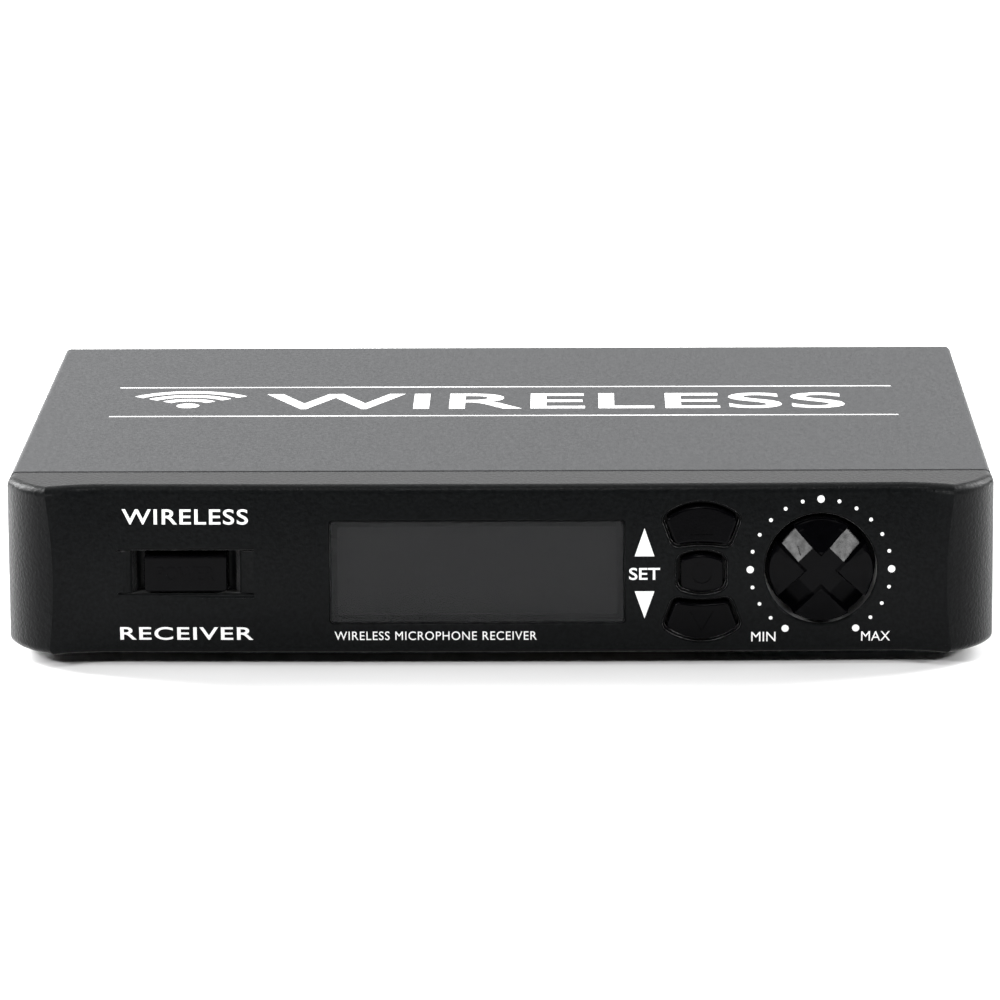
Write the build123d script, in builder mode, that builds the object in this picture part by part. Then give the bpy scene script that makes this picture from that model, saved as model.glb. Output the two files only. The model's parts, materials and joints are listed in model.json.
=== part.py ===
"""Wireless microphone receiver in a half-rack desktop case, as an assembly of separate pieces.

Units are millimetres. The unit stands on its rubber feet at Z = 0 and faces -Y, with +X to the right of
someone looking at its front. The origin is below the middle of the whole unit, on the surface it stands on.
Depths in the front panel are stated as distances forward of the seam between the bezel and the cover.
"""
from build123d import *
import os
from math import asin, cos, degrees, hypot, radians, sin, tan

os.makedirs("parts", exist_ok=True)

# ---------------------------------------------------------------- driving dimensions
BEZEL_WIDTH = 212.3
COVER_WIDTH = 211.6
FOOT_HEIGHT = 3.0
BODY_HEIGHT = 36.8
CASE_DEPTH = 139.6          # seam to the rear edge of the cover
SEAM_Y = -66.8
SEAM_GAP = 0.3
COVER_CORNER = 1.4
SHEET = 1.0                 # steel sheet of the cover, tray and rear panel
SHEET_GAP = 0.3             # clearance between folded sheets
BEZEL_STEP = 0.2            # the bezel's top lies this much below the cover's

# Bezel, with depths forward of the seam
CROWN_DEPTH = 15.9          # most forward point of the front at mid width
CROWN_BELOW_TOP = 20.0
BARREL_RADIUS = 115.0       # vertical bulge of the front
BOW_RADIUS = 3900.0         # bulge of the front across the width
VALLEY_X = 84.4             # where the bulge turns into the flare
FLARE_RADIUS = 24.0
RIDGE_X = 95.3
RIDGE_DEPTH = 17.5
FACET_END_DEPTH = 4.2       # where the corner facet meets the side wall
FACET_RADIUS = 22.0
CORNER_BLEND = 6.0
BEZEL_WALL = 2.4
TOP_EDGE_RADIUS = 2.2
BOTTOM_EDGE_RADIUS = 0.7
SIDE_TOP_RADIUS = 2.0
SIDE_BOTTOM_RADIUS = 1.7
LIP_THICKNESS = 1.6
LIP_LENGTH = 5.0
PROFILE_MARGIN = 0.02        # the front's rounded edges run out just past the top and bottom

# Controls and display on the bezel: places across the width and below the cover's top
POWER_X, POWER_BELOW_TOP = -67.2, 18.9
POWER_WIDTH, POWER_HEIGHT = 17.7, 7.8
POCKET_WIDTH, POCKET_HEIGHT, POCKET_FLOOR = 29.2, 9.4, 11.0
POCKET_LIP = 0.9            # rolled edge along the top and bottom of the pocket
DISPLAY_X, DISPLAY_BELOW_TOP = -4.8, 18.95
DISPLAY_WIDTH, DISPLAY_HEIGHT = 63.0, 22.4
KEYS_X, KEYS_BELOW_TOP = 43.15, 19.1
KEY_PROUD = 0.9
KEY_CLEARANCE = 0.55
KEY_RECESS_MARGIN = 1.0
KEY_RECESS_DEPTH = 1.2
KEY_RIM_RADIUS = 0.35
KNOB_X, KNOB_BELOW_TOP = 68.6, 18.5
KNOB_RADIUS = 11.2
WELL_RADIUS = 12.0
WELL_FLOOR = 7.2
KNOB_BACK, KNOB_FRONT = 8.0, 17.6
SHAFT_RADIUS = 3.0
RUNNING_CLEARANCE = 0.05

# Boards
BOARD_THICKNESS = 1.6
CONTROL_BOARD_DEPTH = -2.0  # front face of the control board, just behind the seam
STANDOFF_HEIGHT = 6.0
SCREW_RADIUS = 1.5
SCREW_HOLE_RADIUS = 1.7

# Rear connectors: places across the width and heights of their centres
CONNECTOR_Z = 21.4
ANTENNA_X = 88.0
XLR_X = 26.0
LINE_JACK_X = -8.0
LEVEL_SWITCH_X = -35.0
DC_X = -58.0
SQUELCH_X = 58.0

# ---------------------------------------------------------------- derived values
BODY_Z = FOOT_HEIGHT
TOP_Z = FOOT_HEIGHT + BODY_HEIGHT
BEZEL_TOP_Z = TOP_Z - BEZEL_STEP
CROWN_Z = TOP_Z - CROWN_BELOW_TOP
BEZEL_BACK_Y = SEAM_Y - SEAM_GAP / 2
COVER_FRONT_Y = SEAM_Y + SEAM_GAP / 2
COVER_REAR_Y = SEAM_Y + CASE_DEPTH
PANEL_Y = COVER_REAR_Y - 0.4              # outer face of the rear panel
COVER_INSIDE_X = COVER_WIDTH / 2 - SHEET
COVER_INSIDE_Z = TOP_Z - SHEET
TRAY_X = COVER_INSIDE_X - SHEET_GAP
TRAY_TOP_Z = BODY_Z + SHEET
TRAY_FRONT_Y = SEAM_Y + 0.6
TRAY_REAR_Y = PANEL_Y - SHEET - 0.2
MAIN_BOARD_Z = TRAY_TOP_Z + STANDOFF_HEIGHT
MAIN_BOARD_TOP_Z = MAIN_BOARD_Z + BOARD_THICKNESS
MAIN_BOARD_FRONT_Y = SEAM_Y + 12
MAIN_BOARD_REAR_Y = PANEL_Y - SHEET - 1.5
POWER_Z = TOP_Z - POWER_BELOW_TOP
DISPLAY_Z = TOP_Z - DISPLAY_BELOW_TOP
KEYS_Z = TOP_Z - KEYS_BELOW_TOP
KNOB_Z = TOP_Z - KNOB_BELOW_TOP


def forward(depth):
    """Y of a place a given depth forward of the seam."""
    return SEAM_Y - depth


def facing_front(y, x=0, z=0):
    """Sketch plane at depth y: local x is +X, local y is +Z, and extruding goes towards the front."""
    return Plane(origin=(x, y, z), x_dir=(1, 0, 0), z_dir=(0, -1, 0))


def save(piece, node):
    """Label a finished piece and write its file."""
    piece.part.label = node
    export_step(piece.part, f"parts/{node}.step")


# ---------------------------------------------------------------- front bezel
def bezel_outline():
    """Plan of the bezel: side walls, corner facets running on past the ridges, and an open front."""
    chord = hypot(BEZEL_WIDTH / 2 - RIDGE_X, RIDGE_DEPTH - FACET_END_DEPTH)
    chord_angle = degrees(asin((RIDGE_DEPTH - FACET_END_DEPTH) / chord))
    start_angle = radians(chord_angle - degrees(asin(chord / 2 / FACET_RADIUS)))
    front_depth = CROWN_DEPTH + 6
    tip_x = RIDGE_X - (front_depth - RIDGE_DEPTH) / tan(start_angle)
    ridge = (RIDGE_X, forward(RIDGE_DEPTH))
    facet_end = (BEZEL_WIDTH / 2, forward(FACET_END_DEPTH))
    side_end = (BEZEL_WIDTH / 2, BEZEL_BACK_Y)
    with BuildSketch() as outline:
        with BuildLine():
            Line((0, forward(front_depth)), (tip_x, forward(front_depth)))
            Line((tip_x, forward(front_depth)), ridge)
            RadiusArc(ridge, facet_end, -FACET_RADIUS)
            Line(facet_end, side_end)
            Line(side_end, (0, BEZEL_BACK_Y))
            mirror(about=Plane.YZ)
        make_face()
        blend = [v for v in vertices() if abs(v.Y - forward(FACET_END_DEPTH)) < 0.01]
        fillet(blend, CORNER_BLEND)
    return outline.sketch


def front_block(inset):
    """Solid behind the bezel's front surface, moved back by inset (forward if it is negative)."""
    crown = CROWN_DEPTH - inset
    radius = BARREL_RADIUS - inset
    low, high = BODY_Z + inset - PROFILE_MARGIN, BEZEL_TOP_Z - inset + PROFILE_MARGIN

    def front_place(z):
        return (forward(crown - radius + radius * cos(asin((z - CROWN_Z) / radius))), z)

    bow = asin(VALLEY_X / BOW_RADIUS)
    flare_radius = FLARE_RADIUS + inset
    flare_reach = 15.4                    # the flare runs past the ridge, where the facet trims it
    flare = bow + asin(flare_reach / flare_radius - sin(bow))
    with BuildPart() as block:
        with BuildLine() as path:
            bow_line = JernArc((0, forward(crown)), (1, 0), BOW_RADIUS, degrees(bow))
            JernArc(bow_line @ 1, bow_line % 1, flare_radius, -degrees(flare))
        with BuildSketch(Plane.YZ):
            with BuildLine():
                ThreePointArc(front_place(low), front_place(CROWN_Z), front_place(high))
                Polyline(front_place(high), (SEAM_Y + 20, high), (SEAM_Y + 20, low), front_place(low))
            make_face()
            front_corners = vertices().sort_by(Axis.X)[:2]
            fillet(front_corners.sort_by(Axis.Y)[-1], TOP_EDGE_RADIUS)
            fillet(vertices().filter_by(lambda v: v.X < SEAM_Y).sort_by(Axis.Y)[0], BOTTOM_EDGE_RADIUS)
        sweep(path=path.wire())
        mirror(about=Plane.YZ)
    return block.part


def front_depth(x, z):
    """How far forward of the seam the front surface lies between the two valleys."""
    bow = BOW_RADIUS * (1 - cos(asin(x / BOW_RADIUS)))
    barrel = BARREL_RADIUS * (1 - cos(asin((z - CROWN_Z) / BARREL_RADIUS)))
    return CROWN_DEPTH - bow - barrel


def key_outline(kind, grow=0):
    """Outline of one key about the middle of the key column, grown outwards by grow."""
    with BuildSketch() as outline:
        with BuildLine():
            if kind == "set":
                ThreePointArc((4.5, 2.9), (0, 4.0), (-4.5, 2.9))
                Line((-4.5, 2.9), (-4.5, -2.9))
                ThreePointArc((-4.5, -2.9), (0, -4.0), (4.5, -2.9))
                Line((4.5, -2.9), (4.5, 2.9))
            else:
                ThreePointArc((7.6, 11.6), (0, 14.4), (-7.6, 11.6))
                Line((-7.6, 11.6), (-5.6, 6.2))
                ThreePointArc((-5.6, 6.2), (0, 6.8), (5.6, 6.2))
                Line((5.6, 6.2), (7.6, 11.6))
        make_face()
        fillet(vertices(), 1.1)
        if grow:
            offset(amount=grow)
    return outline.sketch.rotate(Axis.Z, 180) if kind == "down" else outline.sketch


KEYS = ("up", "set", "down")
KEY_MIDDLES = {"up": 9.8, "set": 0, "down": -9.8}
DISPLAY_LEAN = 0.8                        # the display leans back with the front
DISPLAY_SEAT = 15.3                       # front of the lens seat at mid height
LENS_THICKNESS = 1.2
LENS_SEAT_DEPTH = DISPLAY_SEAT - LENS_THICKNESS
WINDOW_MARGIN = 1.6                       # ledge that the lens is glued to


def display_plane(depth):
    """Plane parallel to the display lens, leaning back at the top."""
    lean = radians(DISPLAY_LEAN)
    return Plane(origin=(DISPLAY_X, forward(depth), DISPLAY_Z), x_dir=(1, 0, 0),
                 z_dir=(0, -cos(lean), sin(lean)))


with BuildPart() as bezel_cavity:
    with BuildSketch(Plane.XY.offset(BODY_Z + BEZEL_WALL)):
        add(bezel_outline())
        offset(amount=-BEZEL_WALL)
    extrude(amount=BEZEL_TOP_Z - BODY_Z - 2 * BEZEL_WALL)
    add(front_block(BEZEL_WALL), mode=Mode.INTERSECT)


def key_column():
    """Sketch plane behind the keys, facing the front."""
    return facing_front(forward(9), KEYS_X, KEYS_Z)


def key_face_plane(kind, proud):
    """Plane over one key that follows the front's lean there, standing proud of it."""
    z = KEYS_Z + KEY_MIDDLES[kind]
    lean = asin((z - CROWN_Z) / BARREL_RADIUS)
    return Plane(origin=(KEYS_X, forward(front_depth(KEYS_X, z) + proud), z), x_dir=(1, 0, 0),
                 z_dir=(0, -cos(lean), sin(lean)))


key_recesses = {}
for kind in KEYS:
    with BuildPart() as recess:
        with BuildSketch(key_column()):
            add(key_outline(kind, KEY_RECESS_MARGIN))
        extrude(amount=10)
        split(bisect_by=key_face_plane(kind, -KEY_RECESS_DEPTH), keep=Keep.TOP)
    key_recesses[kind] = recess.part

def pocket_lip(side):
    """Cutter that rolls the pocket's top (side 1) or bottom (side -1) edge over into the front."""
    wall_z = POWER_Z + side * POCKET_HEIGHT / 2
    roll_y = forward(front_depth(POWER_X, wall_z) - POCKET_LIP)
    bulge = POCKET_LIP * sin(radians(45))
    with BuildPart() as cutter:
        with BuildSketch(Plane.YZ.offset(POWER_X - POCKET_WIDTH / 2)):
            with BuildLine():
                roll = ThreePointArc((roll_y, wall_z), (roll_y - bulge, wall_z + side * (POCKET_LIP - bulge)),
                                     (roll_y - POCKET_LIP, wall_z + side * POCKET_LIP))
                Polyline(roll @ 1, (roll_y - 3, wall_z + side * POCKET_LIP),
                         (roll_y - 3, wall_z - side * 0.2), (roll_y, wall_z - side * 0.2), roll @ 0)
            make_face()
        extrude(amount=POCKET_WIDTH)
    return cutter.part


WELL_WALL = 1.6
POCKET_BLOCK_BACK = 9.0
CONTROL_BOARD_LEFT, CONTROL_BOARD_RIGHT = -48.0, 90.0
CONTROL_BOARD_Z = TRAY_TOP_Z + 6.3
CONTROL_BOARD_HEIGHT = 26.0
CONTROL_BOARD_FRONT_Y = forward(CONTROL_BOARD_DEPTH)
CONTROL_BOARD_BACK_Y = CONTROL_BOARD_FRONT_Y + BOARD_THICKNESS
BOSS_PLACES = [(x, CONTROL_BOARD_Z + z) for x in (-44, 85) for z in (2.8, 23.2)]
TAB_XS = (-78, 0, 78)
TAB_BACK_Y = SEAM_Y + 10
TAB_Z = TRAY_TOP_Z + 0.2
TAB_HEIGHT = 3.8
BEZEL_SCREW_Y = SEAM_Y + 5.5

with BuildPart() as front_bezel:
    with BuildSketch(Plane.XY.offset(BODY_Z)):
        add(bezel_outline())
    extrude(amount=BEZEL_TOP_Z - BODY_Z)

    def side_edges(face):
        """Edges of a top or bottom face along the side walls and facets."""
        return [e for e in face.edges() if forward(CROWN_DEPTH + 5.9) < e.center().Y < BEZEL_BACK_Y - 0.1]

    fillet(side_edges(faces().sort_by(Axis.Z)[-1]), SIDE_TOP_RADIUS)
    fillet(side_edges(faces().sort_by(Axis.Z)[0]), SIDE_BOTTOM_RADIUS)
    add(front_block(0), mode=Mode.INTERSECT)
    add(bezel_cavity.part, mode=Mode.SUBTRACT)
    # open the back of the cavity
    with BuildSketch(facing_front(BEZEL_BACK_Y, 0, (BODY_Z + BEZEL_TOP_Z) / 2)):
        Rectangle(BEZEL_WIDTH - 2 * BEZEL_WALL, BEZEL_TOP_Z - BODY_Z - 2 * BEZEL_WALL)
    extrude(amount=BEZEL_WALL + 1, mode=Mode.SUBTRACT)
    # lip that locates the cover, and tabs screwed to the tray
    lip_low, lip_high = TRAY_TOP_Z + 0.2, COVER_INSIDE_Z - SHEET_GAP
    with BuildSketch(facing_front(BEZEL_BACK_Y + LIP_LENGTH, 0, (lip_low + lip_high) / 2)):
        RectangleRounded(2 * TRAY_X, lip_high - lip_low, COVER_CORNER - SHEET + 0.4)
        Rectangle(2 * (TRAY_X - LIP_THICKNESS), lip_high - lip_low - 2 * LIP_THICKNESS, mode=Mode.SUBTRACT)
    extrude(amount=LIP_LENGTH + 3)
    with BuildSketch(Plane.XY.offset(TAB_Z)):
        with Locations(*[(x, (TAB_BACK_Y + forward(4)) / 2) for x in TAB_XS]):
            Rectangle(12, TAB_BACK_Y - forward(4))
    extrude(amount=TAB_HEIGHT)
    with Locations(*[(x, BEZEL_SCREW_Y, TAB_Z) for x in TAB_XS]):
        Cylinder(1.35, TAB_HEIGHT, align=(Align.CENTER, Align.CENTER, Align.MIN), mode=Mode.SUBTRACT)
    # well that the volume knob sinks into
    with BuildSketch(facing_front(forward(WELL_FLOOR - 1.8), KNOB_X, KNOB_Z)):
        Circle(WELL_RADIUS + WELL_WALL)
    extrude(amount=13.2 - WELL_FLOOR + 1.8)
    with BuildSketch(facing_front(forward(WELL_FLOOR), KNOB_X, KNOB_Z)):
        Circle(WELL_RADIUS)
    extrude(amount=14, mode=Mode.SUBTRACT)
    with BuildSketch(facing_front(forward(2), KNOB_X, KNOB_Z)):
        Circle(SHAFT_RADIUS + 0.8)
    extrude(amount=10, mode=Mode.SUBTRACT)
    # bosses that the control board is screwed to
    for x, z in BOSS_PLACES:
        with BuildSketch(facing_front(CONTROL_BOARD_FRONT_Y, x, z)):
            Circle(2.6)
            Circle(1.2, mode=Mode.SUBTRACT)
        extrude(amount=front_depth(x, z) - 1.2 - CONTROL_BOARD_DEPTH)
    # pocket round the power button, with a finger ramp each side
    with BuildSketch(facing_front(forward(POCKET_BLOCK_BACK), POWER_X, POWER_Z)):
        Rectangle(POCKET_WIDTH + 3, POCKET_HEIGHT + 3)
    extrude(amount=13.0 - POCKET_BLOCK_BACK)
    pocket_x, ramp_x, floor_x = POCKET_WIDTH / 2, POCKET_WIDTH / 2 - 2.9, POCKET_WIDTH / 2 - 4.2
    pocket_plane = Plane.XY.offset(POWER_Z - POCKET_HEIGHT / 2)
    with BuildSketch(pocket_plane.move(Location((POWER_X, SEAM_Y, 0)))):
        with BuildLine():
            Polyline((0, -POCKET_FLOOR), (floor_x, -POCKET_FLOOR), (ramp_x, -14.3), (pocket_x, -15.45),
                     (pocket_x, -20), (0, -20))
            mirror(about=Plane.YZ)
        make_face()
        bends = [v for v in vertices() if -15 < v.Y < -10]
        fillet(bends, 1.2)
    extrude(amount=POCKET_HEIGHT, mode=Mode.SUBTRACT)
    for side in (-1, 1):
        add(pocket_lip(side), mode=Mode.SUBTRACT)
    with BuildSketch(facing_front(forward(POCKET_BLOCK_BACK - 1), POWER_X, POWER_Z - 0.35)):
        RectangleRounded(POWER_WIDTH + 0.6, POWER_HEIGHT + 0.6, 0.4)
    extrude(amount=5, mode=Mode.SUBTRACT)
    # display window with a ledge for its lens
    with BuildSketch(display_plane(LENS_SEAT_DEPTH)):
        RectangleRounded(DISPLAY_WIDTH, DISPLAY_HEIGHT, 0.8)
    extrude(amount=6, mode=Mode.SUBTRACT)
    with BuildSketch(display_plane(8)):
        RectangleRounded(DISPLAY_WIDTH - 2 * WINDOW_MARGIN, DISPLAY_HEIGHT - 2 * WINDOW_MARGIN, 0.6)
    extrude(amount=8, mode=Mode.SUBTRACT)
    # shallow recess round each key, and the opening it slides in
    for kind in KEYS:
        add(key_recesses[kind], mode=Mode.SUBTRACT)
    with BuildSketch(key_column()):
        for kind in KEYS:
            add(key_outline(kind, KEY_CLEARANCE))
    extrude(amount=10, mode=Mode.SUBTRACT)

    def front_rims(x, reach):
        """Edges where openings near x meet the front surface."""
        def on_front(edge):
            middle = edge.position_at(0.5)
            if abs(middle.X - x) > reach or not BODY_Z + 2 < middle.Z < BEZEL_TOP_Z - 2:
                return False
            return abs(front_depth(middle.X, middle.Z) - (SEAM_Y - middle.Y)) < 0.03
        return edges().filter_by(on_front)

    fillet(front_rims(KNOB_X, WELL_RADIUS + 1), 0.5)
    fillet(front_rims(KEYS_X, 9), KEY_RIM_RADIUS)
    chamfer(front_rims(DISPLAY_X, DISPLAY_WIDTH / 2 + 1), 0.35)
save(front_bezel, "front_bezel")

# ---------------------------------------------------------------- display
with BuildPart() as display_lens:
    with BuildSketch(display_plane(LENS_SEAT_DEPTH)):
        RectangleRounded(DISPLAY_WIDTH - 0.2, DISPLAY_HEIGHT - 0.2, 0.7)
    extrude(amount=LENS_THICKNESS)
    chamfer(faces().sort_by(Axis.Y)[0].edges(), 0.2)
save(display_lens, "display_lens")

LCD_WIDTH, LCD_HEIGHT = 64.0, 24.0
LCD_FRONT = 10.9
LCD_GLASS, LCD_LIGHT = 2.6, 3.2
LCD_EDGE = 1.0                            # the carrier's rim round the glass

with BuildPart() as lcd_glass:
    with BuildSketch(facing_front(forward(LCD_FRONT - LCD_GLASS), DISPLAY_X, DISPLAY_Z)):
        Rectangle(LCD_WIDTH - 2 * LCD_EDGE, LCD_HEIGHT - 2 * LCD_EDGE)
    extrude(amount=LCD_GLASS - 0.4)
    with BuildSketch(facing_front(forward(LCD_FRONT - 0.4), DISPLAY_X, DISPLAY_Z)):
        Rectangle(LCD_WIDTH - 6, LCD_HEIGHT - 6)
    extrude(amount=0.4)
save(lcd_glass, "lcd_glass")

with BuildPart() as lcd_backlight:
    with BuildSketch(facing_front(forward(LCD_FRONT - LCD_GLASS - LCD_LIGHT), DISPLAY_X, DISPLAY_Z)):
        Rectangle(LCD_WIDTH - 2 * LCD_EDGE, LCD_HEIGHT - 2 * LCD_EDGE)
    extrude(amount=LCD_LIGHT)
    fillet(edges().filter_by(Axis.Y), 1.0)
save(lcd_backlight, "lcd_backlight")

lcd_back_y = forward(LCD_FRONT - LCD_GLASS - LCD_LIGHT)
with BuildPart() as lcd_carrier:
    with BuildSketch(facing_front(CONTROL_BOARD_FRONT_Y, DISPLAY_X, DISPLAY_Z)):
        Rectangle(LCD_WIDTH + 1, LCD_HEIGHT + 0.6)
        Rectangle(LCD_WIDTH - 8, LCD_HEIGHT - 8, mode=Mode.SUBTRACT)
    extrude(amount=CONTROL_BOARD_FRONT_Y - lcd_back_y)
    with BuildSketch(facing_front(lcd_back_y, DISPLAY_X, DISPLAY_Z)):
        Rectangle(LCD_WIDTH + 1, LCD_HEIGHT + 0.6)
        Rectangle(LCD_WIDTH - 2 * LCD_EDGE + 0.2, LCD_HEIGHT - 2 * LCD_EDGE + 0.2, mode=Mode.SUBTRACT)
    extrude(amount=LCD_GLASS + LCD_LIGHT - 1)
save(lcd_carrier, "lcd_carrier")


# ---------------------------------------------------------------- screws
def pan_screw(length, head_radius=2.7, head_height=2.0, radius=SCREW_RADIUS):
    """Cross-recessed screw with its head on Z = 0 and its shank pointing down."""
    with BuildPart() as screw:
        Cylinder(head_radius, head_height, align=(Align.CENTER, Align.CENTER, Align.MIN))
        fillet(faces().sort_by(Axis.Z)[-1].edges(), min(0.8, head_height * 0.5))
        Cylinder(radius, length, align=(Align.CENTER, Align.CENTER, Align.MAX))
        chamfer(faces().sort_by(Axis.Z)[0].edges(), 0.3)
        with BuildSketch(Plane.XY.offset(head_height)):
            Rectangle(head_radius * 1.1, 0.7)
            Rectangle(0.7, head_radius * 1.1)
        extrude(amount=-0.6 * head_height, mode=Mode.SUBTRACT)
    return screw.part


def facing(direction, x, y, z):
    """Plane at a place whose normal is one of the six row directions."""
    normal = {"up": (0, 0, 1), "down": (0, 0, -1), "left": (-1, 0, 0), "right": (1, 0, 0), "back": (0, 1, 0),
              "front": (0, -1, 0)}[direction]
    return Plane(origin=(x, y, z), z_dir=normal)


# ---------------------------------------------------------------- control board behind the bezel
with BuildPart() as control_board:
    middle_x = (CONTROL_BOARD_LEFT + CONTROL_BOARD_RIGHT) / 2
    middle_z = CONTROL_BOARD_Z + CONTROL_BOARD_HEIGHT / 2
    with BuildSketch(facing_front(CONTROL_BOARD_BACK_Y, middle_x, middle_z)):
        Rectangle(CONTROL_BOARD_RIGHT - CONTROL_BOARD_LEFT, CONTROL_BOARD_HEIGHT)
    extrude(amount=BOARD_THICKNESS)
    with BuildSketch(facing_front(CONTROL_BOARD_BACK_Y)):
        with Locations(*BOSS_PLACES):
            Circle(SCREW_HOLE_RADIUS)
    extrude(amount=BOARD_THICKNESS, mode=Mode.SUBTRACT)
save(control_board, "control_board")

with BuildPart() as control_board_screws:
    with Locations(*[facing("back", x, CONTROL_BOARD_BACK_Y, z) for x, z in BOSS_PLACES]):
        add(pan_screw(8, radius=1.2))
save(control_board_screws, "control_board_screws")

# ---------------------------------------------------------------- function keys
FLANGE_FRONT, FLANGE_BACK = 10.8, 9.6
FLANGE_MARGIN = 0.85
KEY_SYMBOL_DEPTH = 0.3
SWITCH_TOP, PLUNGER_TOP = 1.6, 5.2
PLUNGER_RADIUS = 1.75

for kind in KEYS:
    key_z = KEYS_Z + KEY_MIDDLES[kind]
    with BuildPart() as key:
        with BuildSketch(key_column()):
            add(key_outline(kind))
        extrude(amount=10)
        split(bisect_by=key_face_plane(kind, KEY_PROUD), keep=Keep.BOTTOM)
        fillet(faces().sort_by(Axis.Y)[0].edges(), 0.45)
        with BuildSketch(facing_front(forward(FLANGE_BACK), KEYS_X, KEYS_Z)):
            add(key_outline(kind, FLANGE_MARGIN))
        extrude(amount=FLANGE_FRONT - FLANGE_BACK)
        with BuildSketch(facing_front(forward(PLUNGER_TOP), KEYS_X, key_z)):
            Circle(2.2)
        extrude(amount=FLANGE_BACK - PLUNGER_TOP)
        # the key's symbol, sunk into its face
        with BuildSketch(key_face_plane(kind, KEY_PROUD)):
            if kind == "set":
                Circle(2.15)
            else:
                RegularPolygon(2.9, 3, rotation=90 if kind == "up" else -90)
        extrude(amount=-KEY_SYMBOL_DEPTH, mode=Mode.SUBTRACT)
    save(key, f"{kind}_key")

    with BuildPart() as plunger:
        with BuildSketch(facing_front(forward(PLUNGER_TOP), KEYS_X, key_z)):
            Circle(PLUNGER_RADIUS)
        extrude(amount=SWITCH_TOP - 1.0 - PLUNGER_TOP)
    save(plunger, f"{kind}_switch_plunger")

with BuildPart() as key_switches:
    for kind in KEYS:
        key_z = KEYS_Z + KEY_MIDDLES[kind]
        with BuildSketch(facing_front(CONTROL_BOARD_FRONT_Y, KEYS_X, key_z)):
            RectangleRounded(6.2, 6.2, 0.4)
        extrude(amount=SWITCH_TOP - CONTROL_BOARD_DEPTH)
        with BuildSketch(facing_front(forward(SWITCH_TOP), KEYS_X, key_z)):
            Circle(PLUNGER_RADIUS + 0.1)
        extrude(amount=-2.0, mode=Mode.SUBTRACT)
save(key_switches, "key_switches")

# ---------------------------------------------------------------- power button and its switch
BUTTON_FRONT = 15.3
BUTTON_FLANGE_FRONT, BUTTON_FLANGE_BACK = 8.6, 7.2
BUTTON_BACK = 6.4
BUTTON_Z = POWER_Z - 0.35
POWER_SWITCH_FRONT_Y = SEAM_Y + 14
POWER_SWITCH_LENGTH = 13.0
POWER_ROD = 3.0

with BuildPart() as power_button:
    with BuildSketch(facing_front(forward(BUTTON_FLANGE_FRONT), POWER_X, BUTTON_Z)):
        Rectangle(POWER_WIDTH, POWER_HEIGHT)
        chamfer(vertices().sort_by(Axis.Y)[:2], 0.5)
    extrude(amount=BUTTON_FRONT - BUTTON_FLANGE_FRONT)
    fillet(edges().filter_by(Axis.Y), 0.25)
    fillet(faces().sort_by(Axis.Y)[0].edges(), 0.45)
    with BuildSketch(facing_front(forward(BUTTON_FLANGE_BACK), POWER_X, BUTTON_Z)):
        RectangleRounded(POWER_WIDTH + 3, POWER_HEIGHT + 3, 0.6)
    extrude(amount=BUTTON_FLANGE_FRONT - BUTTON_FLANGE_BACK)
    with BuildSketch(facing_front(forward(BUTTON_BACK), POWER_X, BUTTON_Z)):
        RectangleRounded(6, 5, 0.5)
    extrude(amount=BUTTON_FLANGE_BACK - BUTTON_BACK)
save(power_button, "power_button")

with BuildPart() as power_switch_plunger:
    rod_length = POWER_SWITCH_FRONT_Y - forward(BUTTON_BACK) + 3
    with BuildSketch(facing_front(forward(BUTTON_BACK), POWER_X, BUTTON_Z)):
        RectangleRounded(POWER_ROD, POWER_ROD, 0.4)
    extrude(amount=-rod_length)
save(power_switch_plunger, "power_switch_plunger")

with BuildPart() as power_switch_body:
    switch_height = BUTTON_Z + 4.2 - MAIN_BOARD_TOP_Z
    with BuildSketch(facing_front(POWER_SWITCH_FRONT_Y, POWER_X, MAIN_BOARD_TOP_Z + switch_height / 2)):
        RectangleRounded(8.5, switch_height, 0.4)
    extrude(amount=-POWER_SWITCH_LENGTH)
    with BuildSketch(facing_front(POWER_SWITCH_FRONT_Y, POWER_X, BUTTON_Z)):
        RectangleRounded(POWER_ROD + 0.6, POWER_ROD + 0.6, 0.4)
    extrude(amount=-8, mode=Mode.SUBTRACT)
save(power_switch_body, "power_switch_body")

# ---------------------------------------------------------------- volume control
POT_SIDE = 12.0
POT_FRONT = 5.2
BUSHING_RADIUS = 3.5
BUSHING_TOP = 10.6
NUT_HEIGHT, NUT_FLATS = 2.0, 10.0
WASHER_THICKNESS = 0.5
SHAFT_TOP = 14.8
KNOB_CAVITY_RADIUS = 6.8
KNOB_CAVITY_TOP = 11.4
LAND_RADIUS = 4.2                         # flat tips of the four petals, round the middle
RIM_EDGE = 16.5                           # depth at which the petals' cone meets the rounded rim
SCOOP_RADIUS, SCOOP_SLOPE = 40.0, 15.0    # hollow of each petal, falling towards the rim
CHANNEL_FLOOR = 16.2
CHANNEL_FALL_START, CHANNEL_SLOPE = 4.7, 32.0
CHANNEL_FLOOR_WIDTH, CHANNEL_WIDTH = 4.2, 5.2
PETAL_TURNS = (0, 90, 180, 270)
CHANNEL_TURNS = (45, 135, 225, 315)
POINTER_TURN = 135                        # the channel that carries the pointer at rest


def at_knob(depth):
    """Plane across the volume knob's axis."""
    return facing_front(forward(depth), KNOB_X, KNOB_Z)


with BuildPart() as volume_pot_body:
    with BuildSketch(at_knob(CONTROL_BOARD_DEPTH)):
        RectangleRounded(POT_SIDE, POT_SIDE, 1.0)
    extrude(amount=POT_FRONT - CONTROL_BOARD_DEPTH)
    with BuildSketch(at_knob(POT_FRONT)):
        Circle(BUSHING_RADIUS)
    extrude(amount=BUSHING_TOP - POT_FRONT)
    with BuildSketch(at_knob(BUSHING_TOP)):
        Circle(SHAFT_RADIUS + RUNNING_CLEARANCE)
    extrude(amount=-11, mode=Mode.SUBTRACT)
save(volume_pot_body, "volume_pot_body")

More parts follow.
